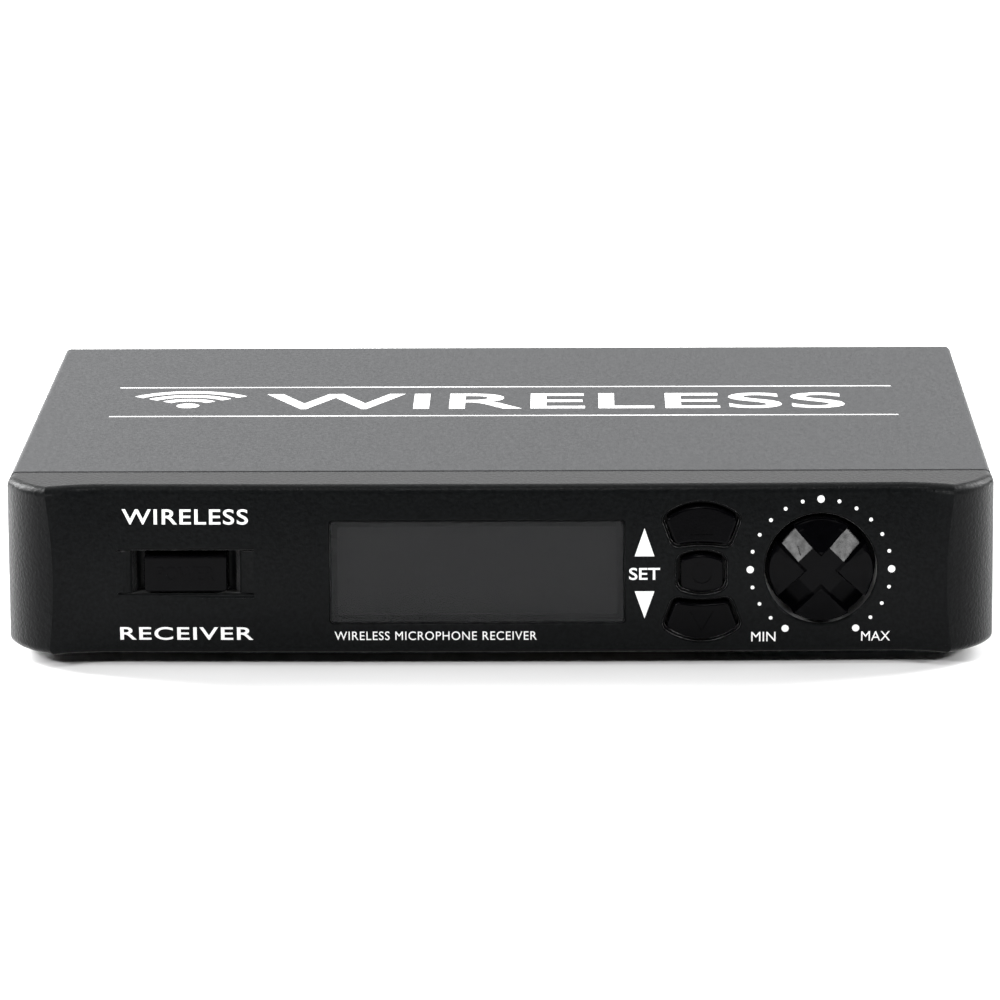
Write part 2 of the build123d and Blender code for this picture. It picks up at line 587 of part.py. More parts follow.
with BuildPart() as volume_pot_shaft:
    with BuildSketch(at_knob(BUSHING_TOP - 10.6)):
        Circle(SHAFT_RADIUS)
    extrude(amount=SHAFT_TOP - BUSHING_TOP + 10.6)
    chamfer(faces().sort_by(Axis.Y)[0].edges(), 0.4)
save(volume_pot_shaft, "volume_pot_shaft")

with BuildPart() as volume_pot_washer:
    with BuildSketch(at_knob(WELL_FLOOR)):
        Circle(5.9)
        Circle(BUSHING_RADIUS + 0.15, mode=Mode.SUBTRACT)
    extrude(amount=WASHER_THICKNESS)
save(volume_pot_washer, "volume_pot_washer")

with BuildPart() as volume_pot_nut:
    with BuildSketch(at_knob(WELL_FLOOR + WASHER_THICKNESS)):
        RegularPolygon(NUT_FLATS / 2, 6, major_radius=False)
        Circle(BUSHING_RADIUS, mode=Mode.SUBTRACT)
    extrude(amount=NUT_HEIGHT)
save(volume_pot_nut, "volume_pot_nut")


def knob_section(turn, reach, depth, fall=0.0):
    """Plane across a line that leaves the knob's axis at an angle and falls away from the front."""
    out_x, out_z = cos(radians(turn)), sin(radians(turn))
    level, back = cos(radians(fall)), sin(radians(fall))
    return Plane(origin=(KNOB_X + reach * out_x, forward(depth), KNOB_Z + reach * out_z),
                 x_dir=(-out_z, 0, out_x), z_dir=(out_x * level, back, out_z * level))


def channel_outline():
    """Cross-section of one channel: narrow floor, bevelled foot, upright walls."""
    floor, half = CHANNEL_FLOOR_WIDTH / 2, CHANNEL_WIDTH / 2
    bevel = KNOB_FRONT - CHANNEL_FLOOR
    with BuildSketch() as outline:
        with BuildLine():
            Polyline((0, 0), (floor, 0), (half, bevel), (half, 12), (0, 12))
            mirror(about=Plane.YZ)
        make_face()
    return outline.sketch


with BuildPart() as volume_knob:
    with BuildSketch(Plane(origin=(KNOB_X, SEAM_Y, KNOB_Z), x_dir=(1, 0, 0), z_dir=(0, 0, 1))):
        with BuildLine():
            Polyline((0, -KNOB_BACK), (KNOB_RADIUS - 0.3, -KNOB_BACK), (KNOB_RADIUS, -14.9))
            ThreePointArc((KNOB_RADIUS, -14.9), (KNOB_RADIUS - 0.4, -16.05), (KNOB_RADIUS - 1.5, -RIM_EDGE))
            Polyline((KNOB_RADIUS - 1.5, -RIM_EDGE), (LAND_RADIUS, -KNOB_FRONT),
                     (0, -KNOB_FRONT), (0, -KNOB_BACK))
        make_face()
    revolve(axis=Axis((KNOB_X, SEAM_Y, KNOB_Z), (0, 1, 0)))
    # hollow petals
    for turn in PETAL_TURNS:
        with BuildSketch(knob_section(turn, LAND_RADIUS, KNOB_FRONT, SCOOP_SLOPE)):
            with Locations((0, SCOOP_RADIUS)):
                Circle(SCOOP_RADIUS)
        extrude(amount=12, mode=Mode.SUBTRACT)
    # channels between the petals, level at the middle and steep from there to the rim
    for turn in CHANNEL_TURNS:
        for reach, fall in ((0, 0), (CHANNEL_FALL_START, CHANNEL_SLOPE)):
            with BuildSketch(knob_section(turn, reach, CHANNEL_FLOOR, fall)):
                add(channel_outline())
            extrude(amount=14, mode=Mode.SUBTRACT)
    # pointer sunk into the steep floor of one channel
    steep_floor = knob_section(POINTER_TURN, CHANNEL_FALL_START, CHANNEL_FLOOR, CHANNEL_SLOPE)
    with BuildSketch(Plane(origin=steep_floor.origin, x_dir=steep_floor.x_dir, z_dir=steep_floor.y_dir)):
        with BuildLine():
            Polyline((-0.95, -0.7), (0, -2.9), (0.95, -0.7), close=True)
        make_face()
    extrude(amount=-0.25, mode=Mode.SUBTRACT)
    # hollow for the nut, and the bore for the shaft
    with BuildSketch(at_knob(KNOB_BACK)):
        Circle(KNOB_CAVITY_RADIUS)
    extrude(amount=KNOB_CAVITY_TOP - KNOB_BACK, mode=Mode.SUBTRACT)
    with BuildSketch(at_knob(KNOB_CAVITY_TOP)):
        Circle(SHAFT_RADIUS + 0.02)
    extrude(amount=SHAFT_TOP - KNOB_CAVITY_TOP + 0.1, mode=Mode.SUBTRACT)
save(volume_knob, "volume_knob")

# ---------------------------------------------------------------- cover, tray and rear panel
SIDE_SCREW_YS = (SEAM_Y + 30, SEAM_Y + 112)
SIDE_SCREW_Z = BODY_Z + 7
FLANGE_HEIGHT = 11.0
FLANGE_FRONT_Y = SEAM_Y + 8

with BuildPart() as top_cover:
    with BuildSketch(facing_front(COVER_REAR_Y)):
        with BuildLine():
            side_x = COVER_WIDTH / 2
            FilletPolyline((-side_x, BODY_Z + 0.2), (-side_x, TOP_Z), (side_x, TOP_Z), (side_x, BODY_Z + 0.2),
                           radius=COVER_CORNER)
            offset(amount=-SHEET, side=Side.RIGHT)
        make_face()
    extrude(amount=COVER_REAR_Y - COVER_FRONT_Y)
    with Locations(*[facing(side, sign * COVER_WIDTH / 2, y, SIDE_SCREW_Z)
                     for side, sign in (("left", -1), ("right", 1)) for y in SIDE_SCREW_YS]):
        Cylinder(SCREW_HOLE_RADIUS, 4, mode=Mode.SUBTRACT)
save(top_cover, "top_cover")

BOARD_LEFT, BOARD_RIGHT = -97.0, 97.0
STANDOFF_PLACES = [(x, y) for x in (-92, 0, 92) for y in (MAIN_BOARD_FRONT_Y + 5, MAIN_BOARD_REAR_Y - 14)]
PANEL_FLANGE = 11.0
PANEL_SCREW_Y = PANEL_Y - 6.5
PANEL_SCREW_XS = (-70, 0, 70)

with BuildPart() as chassis_tray:
    with BuildSketch(Plane.XY.offset(BODY_Z)):
        with Locations((0, (TRAY_FRONT_Y + TRAY_REAR_Y) / 2)):
            Rectangle(2 * TRAY_X, TRAY_REAR_Y - TRAY_FRONT_Y)
    extrude(amount=SHEET)
    flange_rear_y = TRAY_REAR_Y - PANEL_FLANGE - 1
    for sign in (-1, 1):
        with BuildSketch(Plane.XY.offset(BODY_Z)):
            with Locations((sign * (TRAY_X - SHEET / 2), (FLANGE_FRONT_Y + flange_rear_y) / 2)):
                Rectangle(SHEET, flange_rear_y - FLANGE_FRONT_Y)
        extrude(amount=FLANGE_HEIGHT)
    fillet(edges().filter_by(Axis.Y).filter_by(lambda e: abs(abs(e.center().X) - TRAY_X) < 0.01
                                               and abs(e.center().Z - BODY_Z) < 0.01), 0.8)
    with Locations(*[facing(side, sign * TRAY_X, y, SIDE_SCREW_Z)
                     for side, sign in (("left", -1), ("right", 1)) for y in SIDE_SCREW_YS]):
        Cylinder(1.25, 4, mode=Mode.SUBTRACT)
    with Locations(*[(x, BEZEL_SCREW_Y, BODY_Z) for x in TAB_XS],
                   *[(x, PANEL_SCREW_Y, BODY_Z) for x in PANEL_SCREW_XS]):
        Cylinder(SCREW_HOLE_RADIUS, 4, mode=Mode.SUBTRACT)
save(chassis_tray, "chassis_tray")

with BuildPart() as cover_screws:
    with Locations(*[facing(side, sign * COVER_WIDTH / 2, y, SIDE_SCREW_Z)
                     for side, sign in (("left", -1), ("right", 1)) for y in SIDE_SCREW_YS]):
        add(pan_screw(4.5, head_radius=2.9, head_height=0.5, radius=1.2))
save(cover_screws, "cover_screws")

with BuildPart() as bezel_screws:
    with Locations(*[facing("down", x, BEZEL_SCREW_Y, BODY_Z) for x in TAB_XS]):
        add(pan_screw(5.4, head_height=1.6, radius=1.3))
save(bezel_screws, "bezel_screws")

with BuildPart() as panel_screws:
    with Locations(*[facing("down", x, PANEL_SCREW_Y, BODY_Z) for x in PANEL_SCREW_XS]):
        add(pan_screw(4.0, head_height=1.6, radius=1.3))
save(panel_screws, "panel_screws")

FOOT_RADIUS = 6.0
FOOT_PLACES = [(x, y) for x in (-86, 86) for y in (SEAM_Y + 22, PANEL_Y - 22)]
with BuildPart() as rubber_feet:
    with BuildSketch(Plane.XY):
        with Locations(*FOOT_PLACES):
            Circle(FOOT_RADIUS - 0.6)
    extrude(amount=FOOT_HEIGHT, taper=-11)
    fillet(edges().group_by(Axis.Z)[0], 0.6)
save(rubber_feet, "rubber_feet")

# ---------------------------------------------------------------- main board
XLR_NOTCH_WIDTH, XLR_NOTCH_DEPTH = 28.0, 20.5      # the balanced output hangs lower than the board
with BuildPart() as main_board:
    with BuildSketch(Plane.XY.offset(MAIN_BOARD_Z)):
        with Locations(((BOARD_LEFT + BOARD_RIGHT) / 2, (MAIN_BOARD_FRONT_Y + MAIN_BOARD_REAR_Y) / 2)):
            Rectangle(BOARD_RIGHT - BOARD_LEFT, MAIN_BOARD_REAR_Y - MAIN_BOARD_FRONT_Y)
        with Locations(*STANDOFF_PLACES):
            Circle(SCREW_HOLE_RADIUS, mode=Mode.SUBTRACT)
        with Locations((XLR_X, PANEL_Y - SHEET - XLR_NOTCH_DEPTH / 2)):
            Rectangle(XLR_NOTCH_WIDTH, XLR_NOTCH_DEPTH, mode=Mode.SUBTRACT)
    extrude(amount=BOARD_THICKNESS)
save(main_board, "main_board")

with BuildPart() as board_standoffs:
    with BuildSketch(Plane.XY.offset(TRAY_TOP_Z)):
        with Locations(*STANDOFF_PLACES):
            RegularPolygon(2.75, 6, major_radius=False)
            Circle(1.3, mode=Mode.SUBTRACT)
    extrude(amount=STANDOFF_HEIGHT)
save(board_standoffs, "board_standoffs")

with BuildPart() as main_board_screws:
    with Locations(*[facing("up", x, y, MAIN_BOARD_TOP_Z) for x, y in STANDOFF_PLACES]):
        add(pan_screw(6, radius=1.25))
save(main_board_screws, "main_board_screws")

SHIELD_WALL, SHIELD_HEIGHT = 0.5, 9.0
SHIELD_PLACES = [(-66, PANEL_Y - 42), (66, PANEL_Y - 42)]
with BuildPart() as rf_shields:
    with BuildSketch(Plane.XY.offset(MAIN_BOARD_TOP_Z)):
        with Locations(*SHIELD_PLACES):
            RectangleRounded(46, 34, 1.0)
    extrude(amount=SHIELD_HEIGHT)
    with BuildSketch(Plane.XY.offset(MAIN_BOARD_TOP_Z)):
        with Locations(*SHIELD_PLACES):
            RectangleRounded(46 - 2 * SHIELD_WALL, 34 - 2 * SHIELD_WALL, 0.6)
    extrude(amount=SHIELD_HEIGHT - SHIELD_WALL, mode=Mode.SUBTRACT)
save(rf_shields, "rf_shields")

with BuildPart() as tuner_chips:
    with BuildSketch(Plane.XY.offset(MAIN_BOARD_TOP_Z)):
        with Locations(*SHIELD_PLACES):
            with GridLocations(20, 0, 2, 1):
                RectangleRounded(9, 9, 0.3)
    extrude(amount=1.6)
save(tuner_chips, "tuner_chips")

CHIP_PLACES = [(-8, 6), (14, 6), (-8, -20), (22, -22)]
with BuildPart() as audio_chips:
    with BuildSketch(Plane.XY.offset(MAIN_BOARD_TOP_Z)):
        with Locations(*CHIP_PLACES):
            RectangleRounded(10, 7, 0.3)
    extrude(amount=2.0)
save(audio_chips, "audio_chips")

CAPACITOR_PLACES = [(-36, 4), (-26, 4), (-36, -8), (-26, -8), (40, -14), (40, -2)]
with BuildPart() as electrolytic_capacitors:
    with BuildSketch(Plane.XY.offset(MAIN_BOARD_TOP_Z)):
        with Locations(*CAPACITOR_PLACES):
            Circle(3.15)
    extrude(amount=11)
    fillet(edges().group_by(Axis.Z)[-1], 0.5)
save(electrolytic_capacitors, "electrolytic_capacitors")

REGULATOR_X = -30.0
with BuildPart() as voltage_regulator:
    with BuildSketch(Plane.XY.offset(MAIN_BOARD_TOP_Z)):
        with Locations((REGULATOR_X, 22)):
            Rectangle(10.2, 4.5)
    extrude(amount=9)
    with BuildSketch(Plane.XY.offset(MAIN_BOARD_TOP_Z)):
        with Locations((REGULATOR_X, 23.6)):
            Rectangle(10.2, 1.3)
    extrude(amount=15.5)
save(voltage_regulator, "voltage_regulator")

with BuildPart() as regulator_heatsink:
    with BuildSketch(Plane.XY.offset(MAIN_BOARD_TOP_Z)):
        with Locations((REGULATOR_X, 25.1)):
            Rectangle(16, 1.7)
        with Locations((REGULATOR_X, 29.9)):
            with GridLocations(4.8, 0, 4, 1):
                Rectangle(1.4, 8)
    extrude(amount=18)
save(regulator_heatsink, "regulator_heatsink")

# ribbon lead between the two boards, soldered into both
RIBBON_X, RIBBON_WIDTH = 20.0, 14.0
RIBBON_THICKNESS = 0.9
with BuildPart() as ribbon_lead:
    with BuildSketch(Plane(origin=(RIBBON_X - RIBBON_WIDTH / 2, 0, 0), x_dir=(0, 1, 0), z_dir=(1, 0, 0))):
        with BuildLine():
            low_z = MAIN_BOARD_TOP_Z
            high_z = CONTROL_BOARD_Z + 14
            end_y = MAIN_BOARD_FRONT_Y + 6
            FilletPolyline((CONTROL_BOARD_BACK_Y, high_z), (end_y, high_z), (end_y, low_z), radius=4)
            offset(amount=RIBBON_THICKNESS, side=Side.LEFT)
        make_face()
    extrude(amount=RIBBON_WIDTH)
save(ribbon_lead, "ribbon_lead")

# ---------------------------------------------------------------- rear connectors
PANEL_INSIDE_Y = PANEL_Y - SHEET


def at_rear(reach, x=0, z=CONNECTOR_Z):
    """Sketch plane a given reach behind the rear panel's outer face; extruding goes towards the front."""
    return facing_front(PANEL_Y + reach, x, z)


# Antenna jacks
JACK_REACH = 12.0
JACK_RADIUS = 4.8
JACK_BORE = 4.05
JACK_DEPTH = 9.0
JACK_WASHER, JACK_NUT = 0.6, 2.2
JACK_FLANGE = 2.4
JACK_TAIL = 6.0
POST_RADIUS = 2.4
CONTACT_RADIUS = 1.0
LUG_RADIUS, LUG_REACH = 5.6, 8.2
JACK_XS = {"left": -ANTENNA_X, "right": ANTENNA_X}

for side, x in JACK_XS.items():
    with BuildPart() as antenna_jack:
        with BuildSketch(at_rear(JACK_REACH, x)):
            Circle(JACK_RADIUS)
        extrude(amount=JACK_REACH + SHEET + 1)
        fillet(faces().sort_by(Axis.Y)[-1].edges(), 0.4)
        with BuildSketch(at_rear(-SHEET, x)):
            RegularPolygon(6.6, 6, major_radius=False)
        extrude(amount=JACK_FLANGE)
        with BuildSketch(at_rear(-SHEET - JACK_FLANGE, x)):
            Circle(JACK_RADIUS - 0.8)
        extrude(amount=JACK_TAIL - JACK_FLANGE)
        with BuildSketch(at_rear(LUG_REACH, x)):
            with Locations((-(JACK_RADIUS + LUG_RADIUS - 1) / 2, 0), ((JACK_RADIUS + LUG_RADIUS - 1) / 2, 0)):
                Rectangle(LUG_RADIUS - JACK_RADIUS + 1, 2.0)
        extrude(amount=2.0)
        with BuildSketch(at_rear(JACK_REACH, x)):
            Circle(JACK_BORE)
        extrude(amount=JACK_DEPTH, mode=Mode.SUBTRACT)
        with BuildSketch(at_rear(JACK_REACH, x)):
            Circle(POST_RADIUS)
        extrude(amount=JACK_REACH + SHEET + JACK_TAIL + 1, mode=Mode.SUBTRACT)
    save(antenna_jack, f"antenna_jack_{side}")

with BuildPart() as jack_washers:
    for x in JACK_XS.values():
        with BuildSketch(at_rear(JACK_WASHER, x)):
            Circle(7.2)
            Circle(JACK_RADIUS + 0.1, mode=Mode.SUBTRACT)
            with PolarLocations(7.2, 10):
                Circle(0.55, mode=Mode.SUBTRACT)
        extrude(amount=JACK_WASHER)
save(jack_washers, "jack_washers")

with BuildPart() as jack_nuts:
    for x in JACK_XS.values():
        with BuildSketch(at_rear(JACK_WASHER + JACK_NUT, x)):
            RegularPolygon(6.35, 6, major_radius=False, rotation=12)
            Circle(JACK_RADIUS, mode=Mode.SUBTRACT)
        extrude(amount=JACK_NUT)
        chamfer(faces().sort_by(Axis.Y)[-1].outer_wire().edges(), 0.3)
save(jack_nuts, "jack_nuts")

with BuildPart() as jack_insulators:
    for x in JACK_XS.values():
        with BuildSketch(at_rear(JACK_REACH - 3.0, x)):
            Circle(POST_RADIUS)
            Circle(CONTACT_RADIUS, mode=Mode.SUBTRACT)
        extrude(amount=JACK_REACH - 3.0 + SHEET + JACK_TAIL)
save(jack_insulators, "jack_insulators")

with BuildPart() as jack_contacts:
    for x in JACK_XS.values():
        tail_y = PANEL_INSIDE_Y - JACK_TAIL - 1.5
        with BuildSketch(at_rear(JACK_REACH - 3.4, x)):
            Circle(CONTACT_RADIUS)
        extrude(amount=PANEL_Y + JACK_REACH - 3.4 - tail_y)
        with BuildSketch(at_rear(JACK_REACH - 3.4, x)):
            Circle(0.55)
        extrude(amount=5, mode=Mode.SUBTRACT)
        with BuildSketch(Plane.XY.offset(MAIN_BOARD_TOP_Z)):
            with Locations((x, tail_y + 0.6)):
                Rectangle(1.2, 1.2)
        extrude(amount=CONNECTOR_Z - MAIN_BOARD_TOP_Z)
save(jack_contacts, "jack_contacts")

# Balanced output
XLR_FLANGE_WIDTH, XLR_FLANGE_HEIGHT, XLR_FLANGE = 26.0, 31.0, 2.0
XLR_RADIUS, XLR_BORE, XLR_DEPTH, XLR_LENGTH = 11.6, 8.6, 14.5, 20.0
XLR_SCREWS = [(-9.5, 12.0), (9.5, -12.0)]
PIN_CIRCLE, PIN_RADIUS = 5.6, 1.2
PIN_PLACES = [(PIN_CIRCLE * cos(radians(turn)), PIN_CIRCLE * sin(radians(turn))) for turn in (0, 180, 270)]

with BuildPart() as xlr_shell:
    with BuildSketch(at_rear(XLR_FLANGE, XLR_X)):
        RectangleRounded(XLR_FLANGE_WIDTH, XLR_FLANGE_HEIGHT, 3.0)
    extrude(amount=XLR_FLANGE)
    fillet(faces().sort_by(Axis.Y)[-1].edges(), 0.5)
    with BuildSketch(at_rear(0, XLR_X)):
        Circle(XLR_RADIUS)
    extrude(amount=XLR_LENGTH)
    with BuildSketch(at_rear(XLR_FLANGE, XLR_X)):
        Circle(XLR_BORE)
    extrude(amount=XLR_FLANGE + XLR_LENGTH, mode=Mode.SUBTRACT)
    with BuildSketch(at_rear(XLR_FLANGE, XLR_X)):
        with Locations((0, XLR_BORE)):
            Rectangle(4.2, 2.4)
    extrude(amount=9, mode=Mode.SUBTRACT)
    with BuildSketch(at_rear(XLR_FLANGE, XLR_X)):
        with Locations(*XLR_SCREWS):
            Circle(SCREW_HOLE_RADIUS)
    extrude(amount=XLR_FLANGE, mode=Mode.SUBTRACT)
save(xlr_shell, "xlr_shell")

with BuildPart() as xlr_insert:
    with BuildSketch(at_rear(-XLR_DEPTH, XLR_X)):
        Circle(XLR_BORE)
        with Locations(*PIN_PLACES):
            Circle(PIN_RADIUS, mode=Mode.SUBTRACT)
    extrude(amount=XLR_LENGTH - XLR_DEPTH)
save(xlr_insert, "xlr_insert")

with BuildPart() as xlr_pins:
    for pin_x, pin_z in PIN_PLACES:
        tail_y = PANEL_Y - XLR_LENGTH - 2.5 - (pin_x + PIN_CIRCLE) * 0.4
        with BuildSketch(at_rear(-1.5, XLR_X + pin_x, CONNECTOR_Z + pin_z)):
            Circle(PIN_RADIUS)
        extrude(amount=PANEL_Y - 1.5 - tail_y)
        with BuildSketch(Plane.XY.offset(MAIN_BOARD_TOP_Z)):
            with Locations((XLR_X + pin_x, tail_y + 0.6)):
                Rectangle(1.2, 1.2)
        extrude(amount=CONNECTOR_Z + pin_z - MAIN_BOARD_TOP_Z)
    fillet(edges().filter_by(GeomType.CIRCLE).group_by(Axis.Y)[-1], 0.6)
save(xlr_pins, "xlr_pins")

with BuildPart() as xlr_screws:
    with Locations(*[facing("back", XLR_X + x, PANEL_Y + XLR_FLANGE, CONNECTOR_Z + z)
                     for x, z in XLR_SCREWS]):
        add(pan_screw(XLR_FLANGE + 5, head_radius=2.8, head_height=1.6, radius=1.45))
save(xlr_screws, "xlr_screws")

with BuildPart() as xlr_nuts:
    for x, z in XLR_SCREWS:
        with BuildSketch(at_rear(-SHEET, XLR_X + x, CONNECTOR_Z + z)):
            RegularPolygon(2.75, 6, major_radius=False)
            Circle(1.47, mode=Mode.SUBTRACT)
        extrude(amount=2.4)
save(xlr_nuts, "xlr_nuts")

# Unbalanced output
LINE_BODY_WIDTH, LINE_BODY_HEIGHT, LINE_BODY_LENGTH = 15.0, 14.0, 30.0
LINE_BUSHING_RADIUS, LINE_REACH, LINE_BORE = 5.6, 4.6, 3.25
LINE_WALL_LENGTH = 10.0
LINE_NUT = 2.4

with BuildPart() as line_jack_body:
    with BuildSketch(at_rear(LINE_REACH, LINE_JACK_X)):
        Circle(LINE_BUSHING_RADIUS)
    extrude(amount=LINE_REACH + SHEET)
    fillet(faces().sort_by(Axis.Y)[-1].edges(), 0.5)
    with BuildSketch(at_rear(-SHEET, LINE_JACK_X)):
        RectangleRounded(LINE_BODY_WIDTH, LINE_BODY_HEIGHT, 0.8)
    extrude(amount=LINE_BODY_LENGTH)
    with BuildSketch(at_rear(LINE_REACH, LINE_JACK_X)):
        Circle(LINE_BORE)
    extrude(amount=LINE_WALL_LENGTH, mode=Mode.SUBTRACT)
    with BuildSketch(at_rear(LINE_REACH - LINE_WALL_LENGTH, LINE_JACK_X)):
        RectangleRounded(10.6, 9.6, 0.6)
    extrude(amount=LINE_BODY_LENGTH + LINE_REACH - LINE_WALL_LENGTH - 0.6, mode=Mode.SUBTRACT)
save(line_jack_body, "line_jack_body")

with BuildPart() as line_jack_nut:
    with BuildSketch(at_rear(LINE_NUT, LINE_JACK_X)):
        RegularPolygon(7.0, 6, major_radius=False)
        Circle(LINE_BUSHING_RADIUS, mode=Mode.SUBTRACT)
    extrude(amount=LINE_NUT)
    chamfer(faces().sort_by(Axis.Y)[-1].outer_wire().edges(), 0.35)
save(line_jack_nut, "line_jack_nut")

chamber_front_y = PANEL_Y + LINE_REACH - LINE_WALL_LENGTH
with BuildPart() as line_jack_contacts:
    for sign, length in ((-1, 21.0), (1, 12.0)):
        with BuildSketch(facing_front(chamber_front_y - 1.0, LINE_JACK_X + sign * 4.4, CONNECTOR_Z)):
            Rectangle(0.7, 4.0)
        extrude(amount=length)
        contact_x = LINE_JACK_X + sign * 3.95
        with BuildSketch(facing_front(chamber_front_y - length + 1.5, contact_x, CONNECTOR_Z)):
            Rectangle(0.9, 3.0)
        extrude(amount=2.0)
save(line_jack_contacts, "line_jack_contacts")

# DC inlet
DC_NOSE_RADIUS, DC_BORE, DC_DEPTH, DC_LENGTH, DC_REACH = 4.6, 3.1, 9.5, 13.5, 0.8
with BuildPart() as dc_jack_body:
    dc_height = 12.0
    with BuildSketch(at_rear(DC_REACH, DC_X)):
        Circle(DC_NOSE_RADIUS)
    extrude(amount=DC_REACH + SHEET)
    with BuildSketch(at_rear(-SHEET, DC_X, CONNECTOR_Z)):
        RectangleRounded(11, dc_height, 0.5)
    extrude(amount=DC_LENGTH - SHEET)
    with BuildSketch(at_rear(DC_REACH, DC_X)):
        Circle(DC_BORE)
    extrude(amount=DC_DEPTH + DC_REACH, mode=Mode.SUBTRACT)
    with BuildSketch(at_rear(-DC_DEPTH + 0.01, DC_X)):
        Circle(1.05)
    extrude(amount=DC_LENGTH, mode=Mode.SUBTRACT)
save(dc_jack_body, "dc_jack_body")

with BuildPart() as dc_jack_pin:
    with BuildSketch(at_rear(-1.2, DC_X)):
        Circle(1.05)
    extrude(amount=DC_LENGTH + 1.0)
    fillet(faces().sort_by(Axis.Y)[-1].edges(), 0.5)
    with BuildSketch(Plane.XY.offset(MAIN_BOARD_TOP_Z)):
        with Locations((DC_X, PANEL_Y - DC_LENGTH - 1.6)):
            Rectangle(1.6, 1.2)
    extrude(amount=CONNECTOR_Z - MAIN_BOARD_TOP_Z)
save(dc_jack_pin, "dc_jack_pin")

# Squelch trimmer
TRIMMER_RADIUS = 2.4
with BuildPart() as squelch_trimmer_body:
    with BuildSketch(at_rear(-SHEET, SQUELCH_X)):
        RectangleRounded(9, 9, 0.5)
    extrude(amount=6)
    with BuildSketch(at_rear(-SHEET, SQUELCH_X)):
        Circle(TRIMMER_RADIUS + RUNNING_CLEARANCE)
    extrude(amount=3, mode=Mode.SUBTRACT)
save(squelch_trimmer_body, "squelch_trimmer_body")

with BuildPart() as squelch_trimmer_rotor:
    with BuildSketch(at_rear(0.3, SQUELCH_X)):
        Circle(TRIMMER_RADIUS)
    extrude(amount=SHEET + 3.1)
    chamfer(faces().sort_by(Axis.Y)[-1].edges(), 0.2)
    with BuildSketch(at_rear(0.3, SQUELCH_X)):
        Rectangle(0.8, 3.6)
    extrude(amount=0.9, mode=Mode.SUBTRACT)
save(squelch_trimmer_rotor, "squelch_trimmer_rotor")

# Output level switch
SLIDER_TRAVEL = 4.0
SLIDER_WIDTH, SLIDER_HEIGHT = 4.0, 3.4
SLIDER_GAP = 0.3
slot_width = SLIDER_WIDTH + SLIDER_TRAVEL + 2 * SLIDER_GAP
slot_x = LEVEL_SWITCH_X + SLIDER_TRAVEL / 2
with BuildPart() as level_switch_body:
    with BuildSketch(at_rear(-SHEET, slot_x)):
        RectangleRounded(17, 8, 0.5)
    extrude(amount=7)
    with BuildSketch(at_rear(-SHEET, slot_x)):
        Rectangle(slot_width, SLIDER_HEIGHT + 2 * SLIDER_GAP)
    extrude(amount=4, mode=Mode.SUBTRACT)
save(level_switch_body, "level_switch_body")

with BuildPart() as level_switch_slider:
    with BuildSketch(at_rear(2.0, LEVEL_SWITCH_X)):
        Rectangle(SLIDER_WIDTH, SLIDER_HEIGHT)
    extrude(amount=2.0 + SHEET + 3.0)
    fillet(faces().sort_by(Axis.Y)[-1].edges(), 0.3)
    for step in (-1.2, 0, 1.2):
        with BuildSketch(at_rear(2.0, LEVEL_SWITCH_X + step)):
            Rectangle(0.4, SLIDER_HEIGHT)
        extrude(amount=0.4, mode=Mode.SUBTRACT)
save(level_switch_slider, "level_switch_slider")

# Legs that carry the connectors' bodies on the board
LEG_HEIGHT = CONNECTOR_Z - MAIN_BOARD_TOP_Z
with BuildPart() as connector_legs:
    for x, half_height, reach in ((LINE_JACK_X, LINE_BODY_HEIGHT / 2, 8), (DC_X, 6, 5), (SQUELCH_X, 4.5, 3),
                                  (slot_x, 4, 3)):
        with BuildSketch(Plane.XY.offset(MAIN_BOARD_TOP_Z)):
            with Locations((x, PANEL_INSIDE_Y - reach)):
                with GridLocations(6, 0, 2, 1):
                    Rectangle(1.4, 0.8)
        extrude(amount=LEG_HEIGHT - half_height)
save(connector_legs, "connector_legs")

# ---------------------------------------------------------------- rear panel
PANEL_TOP_Z = COVER_INSIDE_Z - SHEET_GAP
with BuildPart() as rear_panel:
    with BuildSketch(at_rear(0, 0, (BODY_Z + PANEL_TOP_Z) / 2)):
        Rectangle(2 * TRAY_X, PANEL_TOP_Z - BODY_Z)
        fillet(vertices().group_by(Axis.Y)[-1], COVER_CORNER - SHEET + 0.4)
    extrude(amount=SHEET)
    with BuildSketch(Plane.XY.offset(TRAY_TOP_Z)):
        with Locations((0, PANEL_Y - PANEL_FLANGE / 2)):
            Rectangle(2 * TRAY_X - 4, PANEL_FLANGE)
    extrude(amount=SHEET)
    fillet(edges().filter_by(Axis.X).group_by(Axis.Z)[0].sort_by(Axis.Y)[-1], 0.8)
    with BuildSketch(at_rear(0, 0, 0)):
        with Locations(*[(x, CONNECTOR_Z) for x in JACK_XS.values()]):
            Circle(JACK_RADIUS + 0.1)
        with Locations((XLR_X, CONNECTOR_Z)):
            Circle(XLR_RADIUS + 0.15)
            with Locations(*XLR_SCREWS):
                Circle(SCREW_HOLE_RADIUS)
        with Locations((LINE_JACK_X, CONNECTOR_Z)):
            Circle(LINE_BUSHING_RADIUS + 0.15)
        with Locations((DC_X, CONNECTOR_Z)):
            Circle(DC_NOSE_RADIUS + 0.15)
        with Locations((SQUELCH_X, CONNECTOR_Z)):
            Circle(TRIMMER_RADIUS + 0.4)
        with Locations((slot_x, CONNECTOR_Z)):
            Rectangle(slot_width, SLIDER_HEIGHT + 2 * SLIDER_GAP)
    extrude(amount=SHEET, mode=Mode.SUBTRACT)
    with Locations(*[(x, PANEL_SCREW_Y, TRAY_TOP_Z + SHEET / 2) for x in PANEL_SCREW_XS]):
        Cylinder(1.3, SHEET, mode=Mode.SUBTRACT)
save(rear_panel, "rear_panel")
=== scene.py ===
"""Looks of the wireless receiver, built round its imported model.

Everything is in metres in the row frame: +X right, -Y out of the front, +Z up, standing on Z = 0.
"""

import json
from math import cos, pi, radians, sin

